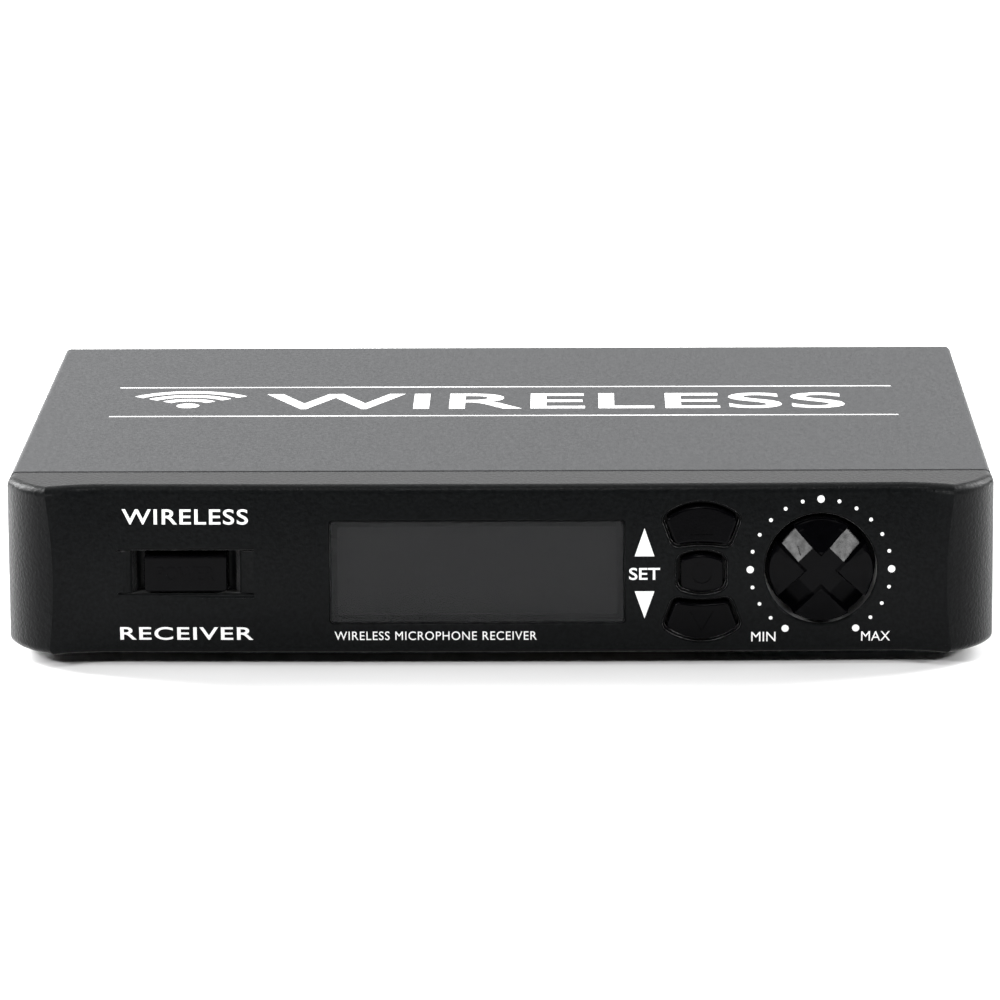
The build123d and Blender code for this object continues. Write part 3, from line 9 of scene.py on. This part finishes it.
import bmesh
import bpy
from mathutils import Matrix, Vector
from mathutils.bvhtree import BVHTree


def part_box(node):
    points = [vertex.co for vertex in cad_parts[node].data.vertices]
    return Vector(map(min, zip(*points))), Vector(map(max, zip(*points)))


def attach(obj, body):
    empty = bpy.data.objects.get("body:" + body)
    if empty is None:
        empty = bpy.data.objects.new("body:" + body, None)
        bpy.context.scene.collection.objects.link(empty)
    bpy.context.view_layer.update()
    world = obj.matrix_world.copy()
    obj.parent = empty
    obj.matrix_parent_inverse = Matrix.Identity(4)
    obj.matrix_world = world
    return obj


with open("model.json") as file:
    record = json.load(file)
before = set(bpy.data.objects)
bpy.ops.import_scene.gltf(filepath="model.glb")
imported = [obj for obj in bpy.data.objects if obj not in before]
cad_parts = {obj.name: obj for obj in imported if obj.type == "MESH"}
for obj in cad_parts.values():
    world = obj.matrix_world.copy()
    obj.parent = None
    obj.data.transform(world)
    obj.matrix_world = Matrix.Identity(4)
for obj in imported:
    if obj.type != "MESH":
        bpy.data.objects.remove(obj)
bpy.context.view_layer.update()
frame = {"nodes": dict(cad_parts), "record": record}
nodes = frame["nodes"]
MM = 0.001


# ---------------------------------------------------------------- camera
CAMERA_PLACE = Vector((0.01688, -1.28754, 0.30201))
CAMERA_DOWN, CAMERA_TURN, CAMERA_ROLL = 0.216672, -0.0138741, -0.00560957   # radians
CAMERA_LENS, CAMERA_SENSOR = 208.5, 36                                      # millimetres


def make_camera():
    """Camera a little over a metre in front of the unit, looking slightly down with a long lens."""
    level_ahead = Vector((sin(CAMERA_TURN), cos(CAMERA_TURN), 0))
    ahead = level_ahead * cos(CAMERA_DOWN) - Vector((0, 0, sin(CAMERA_DOWN)))
    level_right = Vector((cos(CAMERA_TURN), -sin(CAMERA_TURN), 0))
    upward = level_right.cross(ahead)
    right = level_right * cos(CAMERA_ROLL) + upward * sin(CAMERA_ROLL)
    up = upward * cos(CAMERA_ROLL) - level_right * sin(CAMERA_ROLL)
    data = bpy.data.cameras.new("camera")
    data.lens, data.sensor_width = CAMERA_LENS, CAMERA_SENSOR
    camera = bpy.data.objects.new("camera", data)
    camera.matrix_world = Matrix.Translation(CAMERA_PLACE) @ Matrix((right, up, -ahead)).transposed().to_4x4()
    bpy.context.scene.collection.objects.link(camera)
    bpy.context.scene.camera = camera


# ---------------------------------------------------------------- studio
ROOM_DIM, ROOM_BRIGHT = 0.10, 1.0         # strength of the surroundings ahead of the unit and behind it
ROOM_DIM_Y, ROOM_BRIGHT_Y = -0.6, 0.3     # directions between which it changes
FLOOR_SIZE, FLOOR_DROP = 12, 0.0001
FLOOR_GREY, FLOOR_ROUGHNESS, FLOOR_SPECULAR = 0.9, 0.9, 0.1
BACKDROP_START, BACKDROP_FULL, BACKDROP_GLOW = 0.6, 1.3, 0.65   # metres from the middle, and strength
OVERHEAD_STRENGTH, OVERHEAD_WIDTH, OVERHEAD_TILT = 1.25, radians(60), radians(-20)
UNIT_MIDDLE, UNIT_FRONT = (0, 0, 0.02), (0, -0.08, 0.02)
SOFTBOXES = (                             # name, place, what it faces, side length, power
    ("softbox_top", (0, -0.50, 0.85), UNIT_FRONT, 0.14, 2.6),
    ("softbox_front_left", (-0.76, -0.86, 0.62), UNIT_MIDDLE, 0.16, 9),
    ("softbox_front_right", (0.97, -0.76, 0.57), UNIT_MIDDLE, 0.16, 8),
    ("softbox_left", (-0.72, 0.38, 0.46), UNIT_MIDDLE, 0.5, 23),
    ("softbox_right", (0.72, 0.38, 0.46), UNIT_MIDDLE, 0.5, 14),
)


def softbox(name, place, target, side, power):
    """Square area light."""
    data = bpy.data.lights.new(name, "AREA")
    data.shape = "SQUARE"
    data.size = side
    data.energy = power
    light = bpy.data.objects.new(name, data)
    light.location = place
    light.rotation_euler = (Vector(target) - Vector(place)).to_track_quat("-Z", "Y").to_euler()
    bpy.context.scene.collection.objects.link(light)


def ramp(tree, value, lows, highs):
    """Map Range output that goes from the first to the second of highs as value goes over lows."""
    node = tree.nodes.new("ShaderNodeMapRange")
    node.inputs["From Min"].default_value, node.inputs["From Max"].default_value = lows
    node.inputs["To Min"].default_value, node.inputs["To Max"].default_value = highs
    tree.links.new(value, node.inputs["Value"])
    return node.outputs["Result"]


def make_surroundings():
    """Room that is brighter behind the unit than in front of it."""
    world = bpy.data.worlds.new("surroundings")
    bpy.context.scene.world = world
    world.use_nodes = True
    tree = world.node_tree
    direction = tree.nodes.new("ShaderNodeTexCoord").outputs["Generated"]
    axes = tree.nodes.new("ShaderNodeSeparateXYZ")
    tree.links.new(direction, axes.inputs[0])
    strength = ramp(tree, axes.outputs["Y"], (ROOM_DIM_Y, ROOM_BRIGHT_Y), (ROOM_DIM, ROOM_BRIGHT))
    tree.links.new(strength, tree.nodes["Background"].inputs["Strength"])


def make_floor():
    """Pale floor that is lit from within further out, where it stands for the white backdrop."""
    bpy.ops.mesh.primitive_plane_add(size=FLOOR_SIZE)
    floor = bpy.context.active_object
    floor.name = "studio_floor"
    floor.location.z = -FLOOR_DROP
    paint = bpy.data.materials.new("floor_paint")
    paint.use_nodes = True
    tree = paint.node_tree
    shader = tree.nodes["Principled BSDF"]
    shader.inputs["Base Color"].default_value = (FLOOR_GREY, FLOOR_GREY, FLOOR_GREY, 1)
    shader.inputs["Roughness"].default_value = FLOOR_ROUGHNESS
    shader.inputs["Specular IOR Level"].default_value = FLOOR_SPECULAR
    shader.inputs["Emission Color"].default_value = (1, 1, 1, 1)
    distance = tree.nodes.new("ShaderNodeVectorMath")
    distance.operation = "LENGTH"
    tree.links.new(tree.nodes.new("ShaderNodeTexCoord").outputs["Object"], distance.inputs[0])
    glow = ramp(tree, distance.outputs["Value"], (BACKDROP_START, BACKDROP_FULL), (0, BACKDROP_GLOW))
    tree.links.new(glow, shader.inputs["Emission Strength"])
    floor.data.materials.append(paint)


def make_studio():
    """Floor and surroundings, a broad light overhead, and softboxes above and at the corners."""
    make_floor()
    make_surroundings()
    overhead = bpy.data.lights.new("overhead", "SUN")
    overhead.energy, overhead.angle = OVERHEAD_STRENGTH, OVERHEAD_WIDTH
    overhead_light = bpy.data.objects.new("overhead", overhead)
    overhead_light.rotation_euler = (OVERHEAD_TILT, 0, 0)
    bpy.context.scene.collection.objects.link(overhead_light)
    for settings in SOFTBOXES:
        softbox(*settings)
    bpy.context.scene.view_settings.view_transform = "Standard"


# ---------------------------------------------------------------- materials
NOISE_LOW, NOISE_HIGH = 0.35, 0.65        # range in which most of a noise lies
MIX_SHARE, MIX_FIRST, MIX_SECOND, MIX_COLOUR = 0, 6, 7, 2   # colour sockets of the Mix node


class Surface:
    """A Principled material whose colour, roughness and bump come from procedural textures."""

    def __init__(self, name, colour, metallic=0.0, specular=0.5):
        self.material = bpy.data.materials.new(name)
        self.material.use_nodes = True
        self.tree = self.material.node_tree
        self.shader = self.tree.nodes["Principled BSDF"]
        self.place = self.node("ShaderNodeTexCoord").outputs["Object"]
        self.colour = colour
        self.set("Base Color", (*colour, 1))
        self.set("Metallic", metallic)
        self.set("Specular IOR Level", specular)
        self.normal = None

    def set(self, socket, value):
        """Gives one of the shader's own sockets a value."""
        self.shader.inputs[socket].default_value = value
        return self

    def node(self, kind, **settings):
        """New node of a kind, with those settings."""
        made = self.tree.nodes.new(kind)
        for key, value in settings.items():
            setattr(made, key, value)
        return made

    def link(self, source, target):
        self.tree.links.new(source, target)

    def stretched(self, scale):
        """Object coordinates scaled differently along the three axes."""
        mapping = self.node("ShaderNodeMapping")
        mapping.inputs["Scale"].default_value = scale
        self.link(self.place, mapping.inputs["Vector"])
        return mapping.outputs["Vector"]

    def noise(self, size, detail=2.0, stretch=None):
        """Noise from 0 to 1 whose features are about size metres across."""
        texture = self.node("ShaderNodeTexNoise")
        texture.inputs["Scale"].default_value = 1 / size
        texture.inputs["Detail"].default_value = detail
        self.link(self.stretched(stretch) if stretch else self.place, texture.inputs["Vector"])
        return texture.outputs["Fac"]

    def spread(self, value, low, high):
        """Most of a noise spread over low to high."""
        return ramp(self.tree, value, (NOISE_LOW, NOISE_HIGH), (low, high))

    def mix(self, share, first, second):
        """Colour from first to second as share goes from 0 to 1."""
        mix = self.node("ShaderNodeMix", data_type="RGBA")
        self.link(share, mix.inputs[MIX_SHARE])
        mix.inputs[MIX_FIRST].default_value = (*first, 1)
        mix.inputs[MIX_SECOND].default_value = (*second, 1)
        return mix.outputs[MIX_COLOUR]

    def mottle(self, size, amount, detail=3.0):
        """Colour varies by amount, up and down, over patches of that size."""
        low = [c * (1 - amount) for c in self.colour]
        high = [min(1, c * (1 + amount)) for c in self.colour]
        share = self.spread(self.noise(size, detail), 0, 1)
        self.link(self.mix(share, low, high), self.shader.inputs["Base Color"])
        return self

    def vary_roughness(self, size, low, high):
        """Roughness goes from low to high over patches of that size."""
        self.link(self.spread(self.noise(size, 3.0), low, high), self.shader.inputs["Roughness"])
        return self

    def bump(self, height, depth):
        """Adds relief, depth metres high where height goes from 0 to 1, on top of what is there."""
        bump = self.node("ShaderNodeBump")
        bump.inputs["Strength"].default_value = 1.0
        bump.inputs["Distance"].default_value = depth
        self.link(height, bump.inputs["Height"])
        if self.normal:
            self.link(self.normal, bump.inputs["Normal"])
        self.normal = bump.outputs["Normal"]
        self.link(self.normal, self.shader.inputs["Normal"])
        return self

    def grain(self, size, depth, detail=2.0, stretch=None):
        """Adds noise relief of that size and depth."""
        return self.bump(self.noise(size, detail, stretch), depth)


def bezel_plastic():
    """Charcoal moulding with a fine spark-eroded texture."""
    surface = Surface("bezel_plastic", (0.0029, 0.0033, 0.0035), specular=0.05)
    surface.mottle(0.0008, 0.3).vary_roughness(0.0007, 0.30, 0.42)
    surface.set("Sheen Weight", 0.27).set("Sheen Roughness", 0.32)
    return surface.grain(0.00075, 0.00010).grain(0.03, 0.00004, detail=1)


def cover_paint():
    """Satin grey powder coat with fine orange peel."""
    surface = Surface("cover_paint", (0.070, 0.071, 0.073))
    surface.mottle(0.0005, 0.15).vary_roughness(0.0008, 0.38, 0.5)
    return surface.grain(0.0004, 0.00003).grain(0.05, 0.00006, detail=1)


def case_paint():
    """Black powder coat of the tray and rear panel."""
    surface = Surface("case_paint", (0.022, 0.022, 0.023))
    surface.mottle(0.0005, 0.2).vary_roughness(0.0008, 0.42, 0.6)
    return surface.grain(0.00045, 0.00005)


def control_plastic():
    """Semi-gloss black moulding of keys, button and knob."""
    surface = Surface("control_plastic", (0.0008, 0.0008, 0.0011), specular=0.045)
    surface.mottle(0.002, 0.2).vary_roughness(0.0015, 0.17, 0.23)
    return surface.grain(0.0005, 0.00001)


def lens_plastic():
    """Smoked clear window, mostly see-through, that still reflects."""
    surface = Surface("lens_plastic", (0.010, 0.0105, 0.011), specular=0.18)
    surface.vary_roughness(0.004, 0.10, 0.16).set("Alpha", 0.55)
    return surface.grain(0.006, 0.000002)


def lcd_face():
    """Unlit display glass over a grey reflector."""
    surface = Surface("lcd_face", (0.041, 0.043, 0.043), specular=0.3)
    surface.mottle(0.0003, 0.05).vary_roughness(0.001, 0.25, 0.35)
    return surface.grain(0.0004, 0.000004)


def natural_plastic():
    surface = Surface("natural_plastic", (0.70, 0.69, 0.64))
    surface.set("Subsurface Weight", 0.1).set("Subsurface Scale", 0.001)
    return surface.mottle(0.003, 0.05).vary_roughness(0.001, 0.4, 0.55).grain(0.0006, 0.00001)


def diffuser_plastic():
    surface = Surface("diffuser_plastic", (0.50, 0.52, 0.50))
    return surface.mottle(0.002, 0.04).vary_roughness(0.001, 0.55, 0.7).grain(0.0003, 0.000006)


def black_plastic():
    """Glass-filled black moulding of sockets and small parts."""
    surface = Surface("black_plastic", (0.016, 0.016, 0.016))
    surface.mottle(0.0008, 0.3).vary_roughness(0.001, 0.42, 0.62)
    return surface.grain(0.0004, 0.00002)


TRACK_PITCH, TRACK_SHARE = 1 / 260, 0.08  # metres between tracks, and their half width as a share of that


def board_laminate():
    """Green solder mask with tracks showing through as paler raised lines."""
    surface = Surface("board_laminate", (0.010, 0.075, 0.028))
    tracks = surface.node("ShaderNodeTexVoronoi", feature="DISTANCE_TO_EDGE", distance="MANHATTAN")
    tracks.inputs["Scale"].default_value = 1 / TRACK_PITCH
    surface.link(surface.place, tracks.inputs["Vector"])
    edge = surface.node("ShaderNodeMath", operation="LESS_THAN")
    edge.inputs[1].default_value = TRACK_SHARE
    surface.link(tracks.outputs["Distance"], edge.inputs[0])
    colour = surface.mix(edge.outputs[0], surface.colour, (0.022, 0.14, 0.05))
    surface.link(colour, surface.shader.inputs["Base Color"])
    return surface.vary_roughness(0.002, 0.28, 0.42).bump(edge.outputs[0], 0.00003)


def plated(name, colour, roughness, scratch=0.00001):
    """Plated or bare metal with fine lengthways scratches and clouded patches."""
    surface = Surface(name, colour, metallic=1.0)
    surface.mottle(0.004, 0.08).vary_roughness(0.0012, roughness * 0.7, roughness * 1.4)
    return surface.grain(0.0006, scratch, stretch=(1, 0.15, 1))


def zinc_plate():
    return plated("zinc_plate", (0.58, 0.58, 0.55), 0.38)


def nickel_plate():
    return plated("nickel_plate", (0.50, 0.48, 0.44), 0.22, 0.000004)


def gold_plate():
    return plated("gold_plate", (0.83, 0.60, 0.26), 0.22, 0.000004)


def tin_plate():
    return plated("tin_plate", (0.66, 0.66, 0.66), 0.33)


def bare_alloy():
    return plated("bare_alloy", (0.68, 0.69, 0.71), 0.35, 0.00002)


def black_oxide():
    """Blackened steel of the case screws, worn a little grey."""
    surface = Surface("black_oxide", (0.030, 0.030, 0.031), metallic=0.6)
    return surface.mottle(0.0015, 0.5).vary_roughness(0.0008, 0.28, 0.5).grain(0.0003, 0.00001)


def foot_rubber():
    surface = Surface("foot_rubber", (0.014, 0.014, 0.014), specular=0.3)
    return surface.mottle(0.002, 0.3).vary_roughness(0.001, 0.65, 0.85).grain(0.0003, 0.00004)


def ribbon_insulation():
    surface = Surface("ribbon_insulation", (0.36, 0.37, 0.39))
    surface.mottle(0.003, 0.08).vary_roughness(0.001, 0.4, 0.6)
    return surface.grain(0.0008, 0.00005, stretch=(1, 0, 0))


def print_ink():
    """Screen-printed off-white legends."""
    surface = Surface("print_ink", (0.80, 0.80, 0.80), specular=0.3)
    return surface.mottle(0.0004, 0.05).vary_roughness(0.0006, 0.5, 0.7).grain(0.0003, 0.000004)


SLOT_SURFACES = {
    "bezel": bezel_plastic, "cover_paint": cover_paint, "case_steel": case_paint,
    "control_plastic": control_plastic, "lens": lens_plastic, "lcd": lcd_face, "backlight": diffuser_plastic,
    "white_plastic": natural_plastic, "black_plastic": black_plastic, "board": board_laminate,
    "zinc": zinc_plate, "nickel": nickel_plate, "gold": gold_plate, "tin": tin_plate, "alloy": bare_alloy,
    "rubber": foot_rubber, "ribbon": ribbon_insulation, "screw_black": black_oxide,
}


def dress_nodes():
    """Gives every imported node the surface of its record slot."""
    made = {slot: build().material for slot, build in SLOT_SURFACES.items()}
    for part in frame["record"]["subparts"]:
        slots = nodes[part["node"]].data.materials
        slots.clear()
        slots.append(made[part["material_slot"]])


# ---------------------------------------------------------------- printed and moulded legends
INK_PROUD, INK_SUNK = 0.03 * MM, 0.02 * MM
LETTER_WEIGHT = 0.012                     # thickening of the font's strokes
LETTER_JOIN = 0.00001                     # points of a letter closer than this are one
LETTER_STEPS = 6                          # straight steps in each curve of a letter
RAY_START = 0.3                           # metres out from the unit's middle, clear of every surface
SIDES = {                                 # reading direction and upward direction on each side
    "front": (Vector((1, 0, 0)), Vector((0, 0, 1))),
    "top": (Vector((1, 0, 0)), Vector((0, 1, 0))),
    "rear": (Vector((-1, 0, 0)), Vector((0, 0, 1))),
}
surface_trees = {}


def middle(node):
    """Middle of a node's box at rest."""
    low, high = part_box(node)
    return (Vector(low) + Vector(high)) / 2


def surface_of(node):
    """Ray-cast tree of a node's mesh, made once."""
    if node not in surface_trees:
        mesh = nodes[node].data
        place = nodes[node].matrix_world
        points = [place @ vertex.co for vertex in mesh.vertices]
        surface_trees[node] = BVHTree.FromPolygons(points, [tuple(face.vertices) for face in mesh.polygons])
    return surface_trees[node]


def letters(words, width, height, spacing=1.0):
    """Letters filling a box of that size about the origin, as flat points and faces."""
    text = bpy.data.curves.new("letters", "FONT")
    text.body = words
    text.offset = 0 if "M" in words else LETTER_WEIGHT   # the font's M folds over itself when thickened
    text.space_character = spacing
    text.resolution_u = LETTER_STEPS
    holder = bpy.data.objects.new("letters", text)
    mesh = bpy.data.meshes.new_from_object(holder)
    work = bmesh.new()
    work.from_mesh(mesh)
    bmesh.ops.remove_doubles(work, verts=work.verts, dist=LETTER_JOIN)
    points = [Vector((vertex.co.x, vertex.co.y)) for vertex in work.verts]
    faces = [[vertex.index for vertex in face.verts] for face in work.faces]
    work.free()
    bpy.data.meshes.remove(mesh)
    bpy.data.objects.remove(holder)
    low = Vector((min(p.x for p in points), min(p.y for p in points)))
    span = Vector((max(p.x for p in points), max(p.y for p in points))) - low
    scale = Vector((width / span.x, height / span.y))
    return [(p - low - span / 2) * scale for p in points], faces


def disc(radius, centre=(0, 0), sides=24):
    """Flat disc as points and one face."""
    turns = [2 * pi * step / sides for step in range(sides)]
    return [Vector(centre) + radius * Vector((cos(turn), sin(turn))) for turn in turns], [list(range(sides))]


def arc_band(inner, outer, start, end, centre=(0, 0), steps=16):
    """Flat band between two radii, from one angle in degrees to another."""
    points = []
    for step in range(steps + 1):
        turn = radians(start + (end - start) * step / steps)
        points += [Vector(centre) + radius * Vector((cos(turn), sin(turn))) for radius in (inner, outer)]
    return points, [[2 * step, 2 * step + 1, 2 * step + 3, 2 * step + 2] for step in range(steps)]


def bar(width, height, centre=(0, 0)):
    """Flat rectangle."""
    corners = ((-1, -1), (1, -1), (1, 1), (-1, 1))
    return [Vector(centre) + Vector((x * width / 2, y * height / 2)) for x, y in corners], [[0, 1, 2, 3]]


def arrow(width, height, rows=6):
    """Flat triangle in rows, so that it can follow a curve. It points up, or down if height is negative."""
    points = []
    for row in range(rows):
        half, level = width / 2 * (1 - row / rows), height * (row / rows - 0.5)
        points += [Vector((-half, level)), Vector((half, level))]
    points.append(Vector((0, height / 2)))
    faces = [[2 * row, 2 * row + 1, 2 * row + 3, 2 * row + 2] for row in range(rows - 1)]
    faces.append([2 * rows - 2, 2 * rows - 1, 2 * rows])
    return points, [face if height > 0 else face[::-1] for face in faces]


def together(shapes):
    """Several flat shapes as one."""
    points, faces = [], []
    for more_points, more_faces in shapes:
        faces += [[index + len(points) for index in face] for face in more_faces]
        points += more_points
    return points, faces


def lay_on(name, node, side, place, shape, body="housing", slot="legend", proud=INK_PROUD):
    """Thin closed solid that follows a node's surface, lying flat on one side of the unit."""
    across, upward = SIDES[side]
    outward = across.cross(upward)
    tree = surface_of(node)
    flat, faces = shape
    fronts, backs = [], []
    for point in flat:
        start = place + across * point.x + upward * point.y
        start += outward * (RAY_START - start.dot(outward))
        hit = tree.ray_cast(start, -outward)[0]
        fronts.append(hit + outward * proud)
        backs.append(hit - outward * INK_SUNK)
    count = len(flat)
    edges = {(a, b) for face in faces for a, b in zip(face, face[1:] + face[:1])}
    walls = [(b, a, a + count, b + count) for a, b in edges if (b, a) not in edges]
    lids = [tuple(face) for face in faces]
    lids += [tuple(index + count for index in reversed(face)) for face in faces]
    mesh = bpy.data.meshes.new(name)
    mesh.from_pydata(fronts + backs, [], lids + sorted(walls))
    mesh.materials.append(legend_materials[slot])
    piece = bpy.data.objects.new(name, mesh)
    bpy.context.scene.collection.objects.link(piece)
    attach(piece, body)
    return piece


KEY_WORD_LEFT, KEY_WORD_DROP = 12.2, 0.2          # millimetres, as are the legend sizes below
KEY_WORD_SIZE = 6.6, 2.65
ARROW_LIFT, ARROW_WIDTH, ARROW_HEIGHT = 6.85, 4.2, 6.05


def key_legends():
    """SET between an arrow up and an arrow down, left of the keys."""
    place = middle("set_key") + Vector((-KEY_WORD_LEFT, 0, -KEY_WORD_DROP)) * MM
    width, height = KEY_WORD_SIZE
    lay_on("set_legend", "front_bezel", "front", place, letters("SET", width * MM, height * MM))
    for name, sign in (("up_arrow", 1), ("down_arrow", -1)):
        lift = Vector((0, 0, sign * ARROW_LIFT * MM))
        shape = arrow(ARROW_WIDTH * MM, sign * ARROW_HEIGHT * MM)
        lay_on(name, "front_bezel", "front", place + lift, shape)


DIAL_RADIUS, DIAL_DOT, DIAL_BIG_DOT = 15.1, 0.40, 0.78
DIAL_END, DIAL_STEP = 150, 15                     # degrees from straight up
DIAL_BIG_TURNS = (-150, -90, 0, 90, 150)
DIAL_WORDS = (                                    # name, words, right of the knob, width
    ("min_legend", "MIN", -12.2, 5.2),
    ("max_legend", "MAX", 11.85, 6.2),
)
DIAL_WORD_DROP, DIAL_WORD_HEIGHT = 14.9, 2.15


def dial_legends():
    """Ring of dots round the knob, five of them larger, with MIN and MAX at its ends."""
    place = middle("volume_knob")
    dots = []
    for turn in range(-DIAL_END, DIAL_END + 1, DIAL_STEP):
        radius = DIAL_BIG_DOT if turn in DIAL_BIG_TURNS else DIAL_DOT
        spot = (DIAL_RADIUS * MM * sin(radians(turn)), DIAL_RADIUS * MM * cos(radians(turn)))
        dots.append(disc(radius * MM, spot))
    lay_on("dial_dots", "front_bezel", "front", place, together(dots))
    for name, words, shift, width in DIAL_WORDS:
        spot = place + Vector((shift, 0, -DIAL_WORD_DROP)) * MM
        lay_on(name, "front_bezel", "front", spot, letters(words, width * MM, DIAL_WORD_HEIGHT * MM))


TITLE_SPACING = 1.1
FRONT_TITLES = (    # name, words, node it goes by, level of its box, right of and above that, width, height
    ("front_title", "WIRELESS", "power_button", "middle", 0, 12.4, 27.0, 3.3),
    ("front_kind", "RECEIVER", "power_button", "middle", 0, -13.2, 28.6, 2.9),
    ("display_title", "WIRELESS MICROPHONE RECEIVER", "display_lens", "low", -9.0, -2.9, 43.3, 1.95),
)


def front_titles():
    """Plain words that say what the unit is."""
    for name, words, node, level, right, above, width, height in FRONT_TITLES:
        centre = middle(node)
        z = centre.z if level == "middle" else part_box(node)[0][2]
        place = Vector((centre.x + right * MM, 0, z + above * MM))
        lay_on(name, "front_bezel", "front", place, letters(words, width * MM, height * MM, TITLE_SPACING))


POWER_WORD_SIZE, POWER_WORD_PROUD = (12.2, 3.2), 0.15


def power_word():
    """POWER moulded on the face of the power button."""
    width, height = POWER_WORD_SIZE
    shape = letters("POWER", width * MM, height * MM, TITLE_SPACING)
    lay_on("power_word", "power_button", "front", middle("power_button"), shape,
           body="power_press", slot="moulded", proud=POWER_WORD_PROUD * MM)


COVER_PRINT_BACK = 5.5                            # its middle is this far behind the cover's
COVER_WORD_SIZE, COVER_WORD_RIGHT, COVER_WORD_SPACING = (132, 17.5), 11.5, 1.05
SIGN_PLACE, SIGN_DOT, SIGN_DOT_SIDES, SIGN_BAND = (-72, -4.5), 2.6, 32, 1.3
SIGN_RADII, SIGN_START, SIGN_END = (6.5, 11, 15.5), 40, 140
RULE_SIZE, RULE_OFFSET = (178, 0.8), 16.5


def cover_print():
    """Plain word on the cover with a sign of three radio arcs, between two thin rules."""
    cover = middle("top_cover")
    place = Vector((0, cover.y + COVER_PRINT_BACK * MM, 0))
    width, height = COVER_WORD_SIZE
    points, faces = letters("WIRELESS", width * MM, height * MM, COVER_WORD_SPACING)
    word = ([point + Vector((COVER_WORD_RIGHT * MM, 0)) for point in points], faces)
    mast = tuple(value * MM for value in SIGN_PLACE)
    sign = [disc(SIGN_DOT * MM, mast, SIGN_DOT_SIDES)]
    sign += [arc_band((radius - SIGN_BAND) * MM, (radius + SIGN_BAND) * MM, SIGN_START, SIGN_END, mast)
             for radius in SIGN_RADII]
    rules = [bar(RULE_SIZE[0] * MM, RULE_SIZE[1] * MM, (0, y * MM)) for y in (-RULE_OFFSET, RULE_OFFSET)]
    lay_on("cover_print", "top_cover", "top", place, together([word, *sign, *rules]))


REAR_LETTER_WIDTH, REAR_LETTER_HEIGHT = 1.45, 1.7
REAR_WORDS = (                                    # name, words, node below, distance above its middle
    ("antenna_a_legend", "ANTENNA A", "antenna_jack_left", 10.6),
    ("antenna_b_legend", "ANTENNA B", "antenna_jack_right", 10.6),
    ("line_legend", "LINE OUT", "line_jack_nut", 11.0),
    ("level_legend", "LEVEL", "level_switch_slider", 7.5),
    ("dc_legend", "DC IN", "dc_jack_body", 7.5),
    ("squelch_legend", "SQUELCH", "squelch_trimmer_rotor", 7.5),
)


def rear_legends():
    """Plain words over the sockets and controls of the rear panel."""
    for name, words, node, lift in REAR_WORDS:
        place = middle(node) + Vector((0, 0, lift * MM))
        shape = letters(words, REAR_LETTER_WIDTH * len(words) * MM, REAR_LETTER_HEIGHT * MM)
        lay_on(name, "rear_panel", "rear", place, shape)


make_camera()
make_studio()
dress_nodes()
legend_materials = {"legend": print_ink().material, "moulded": nodes["power_button"].data.materials[0]}
key_legends()
dial_legends()
front_titles()
power_word()
cover_print()
rear_legends()
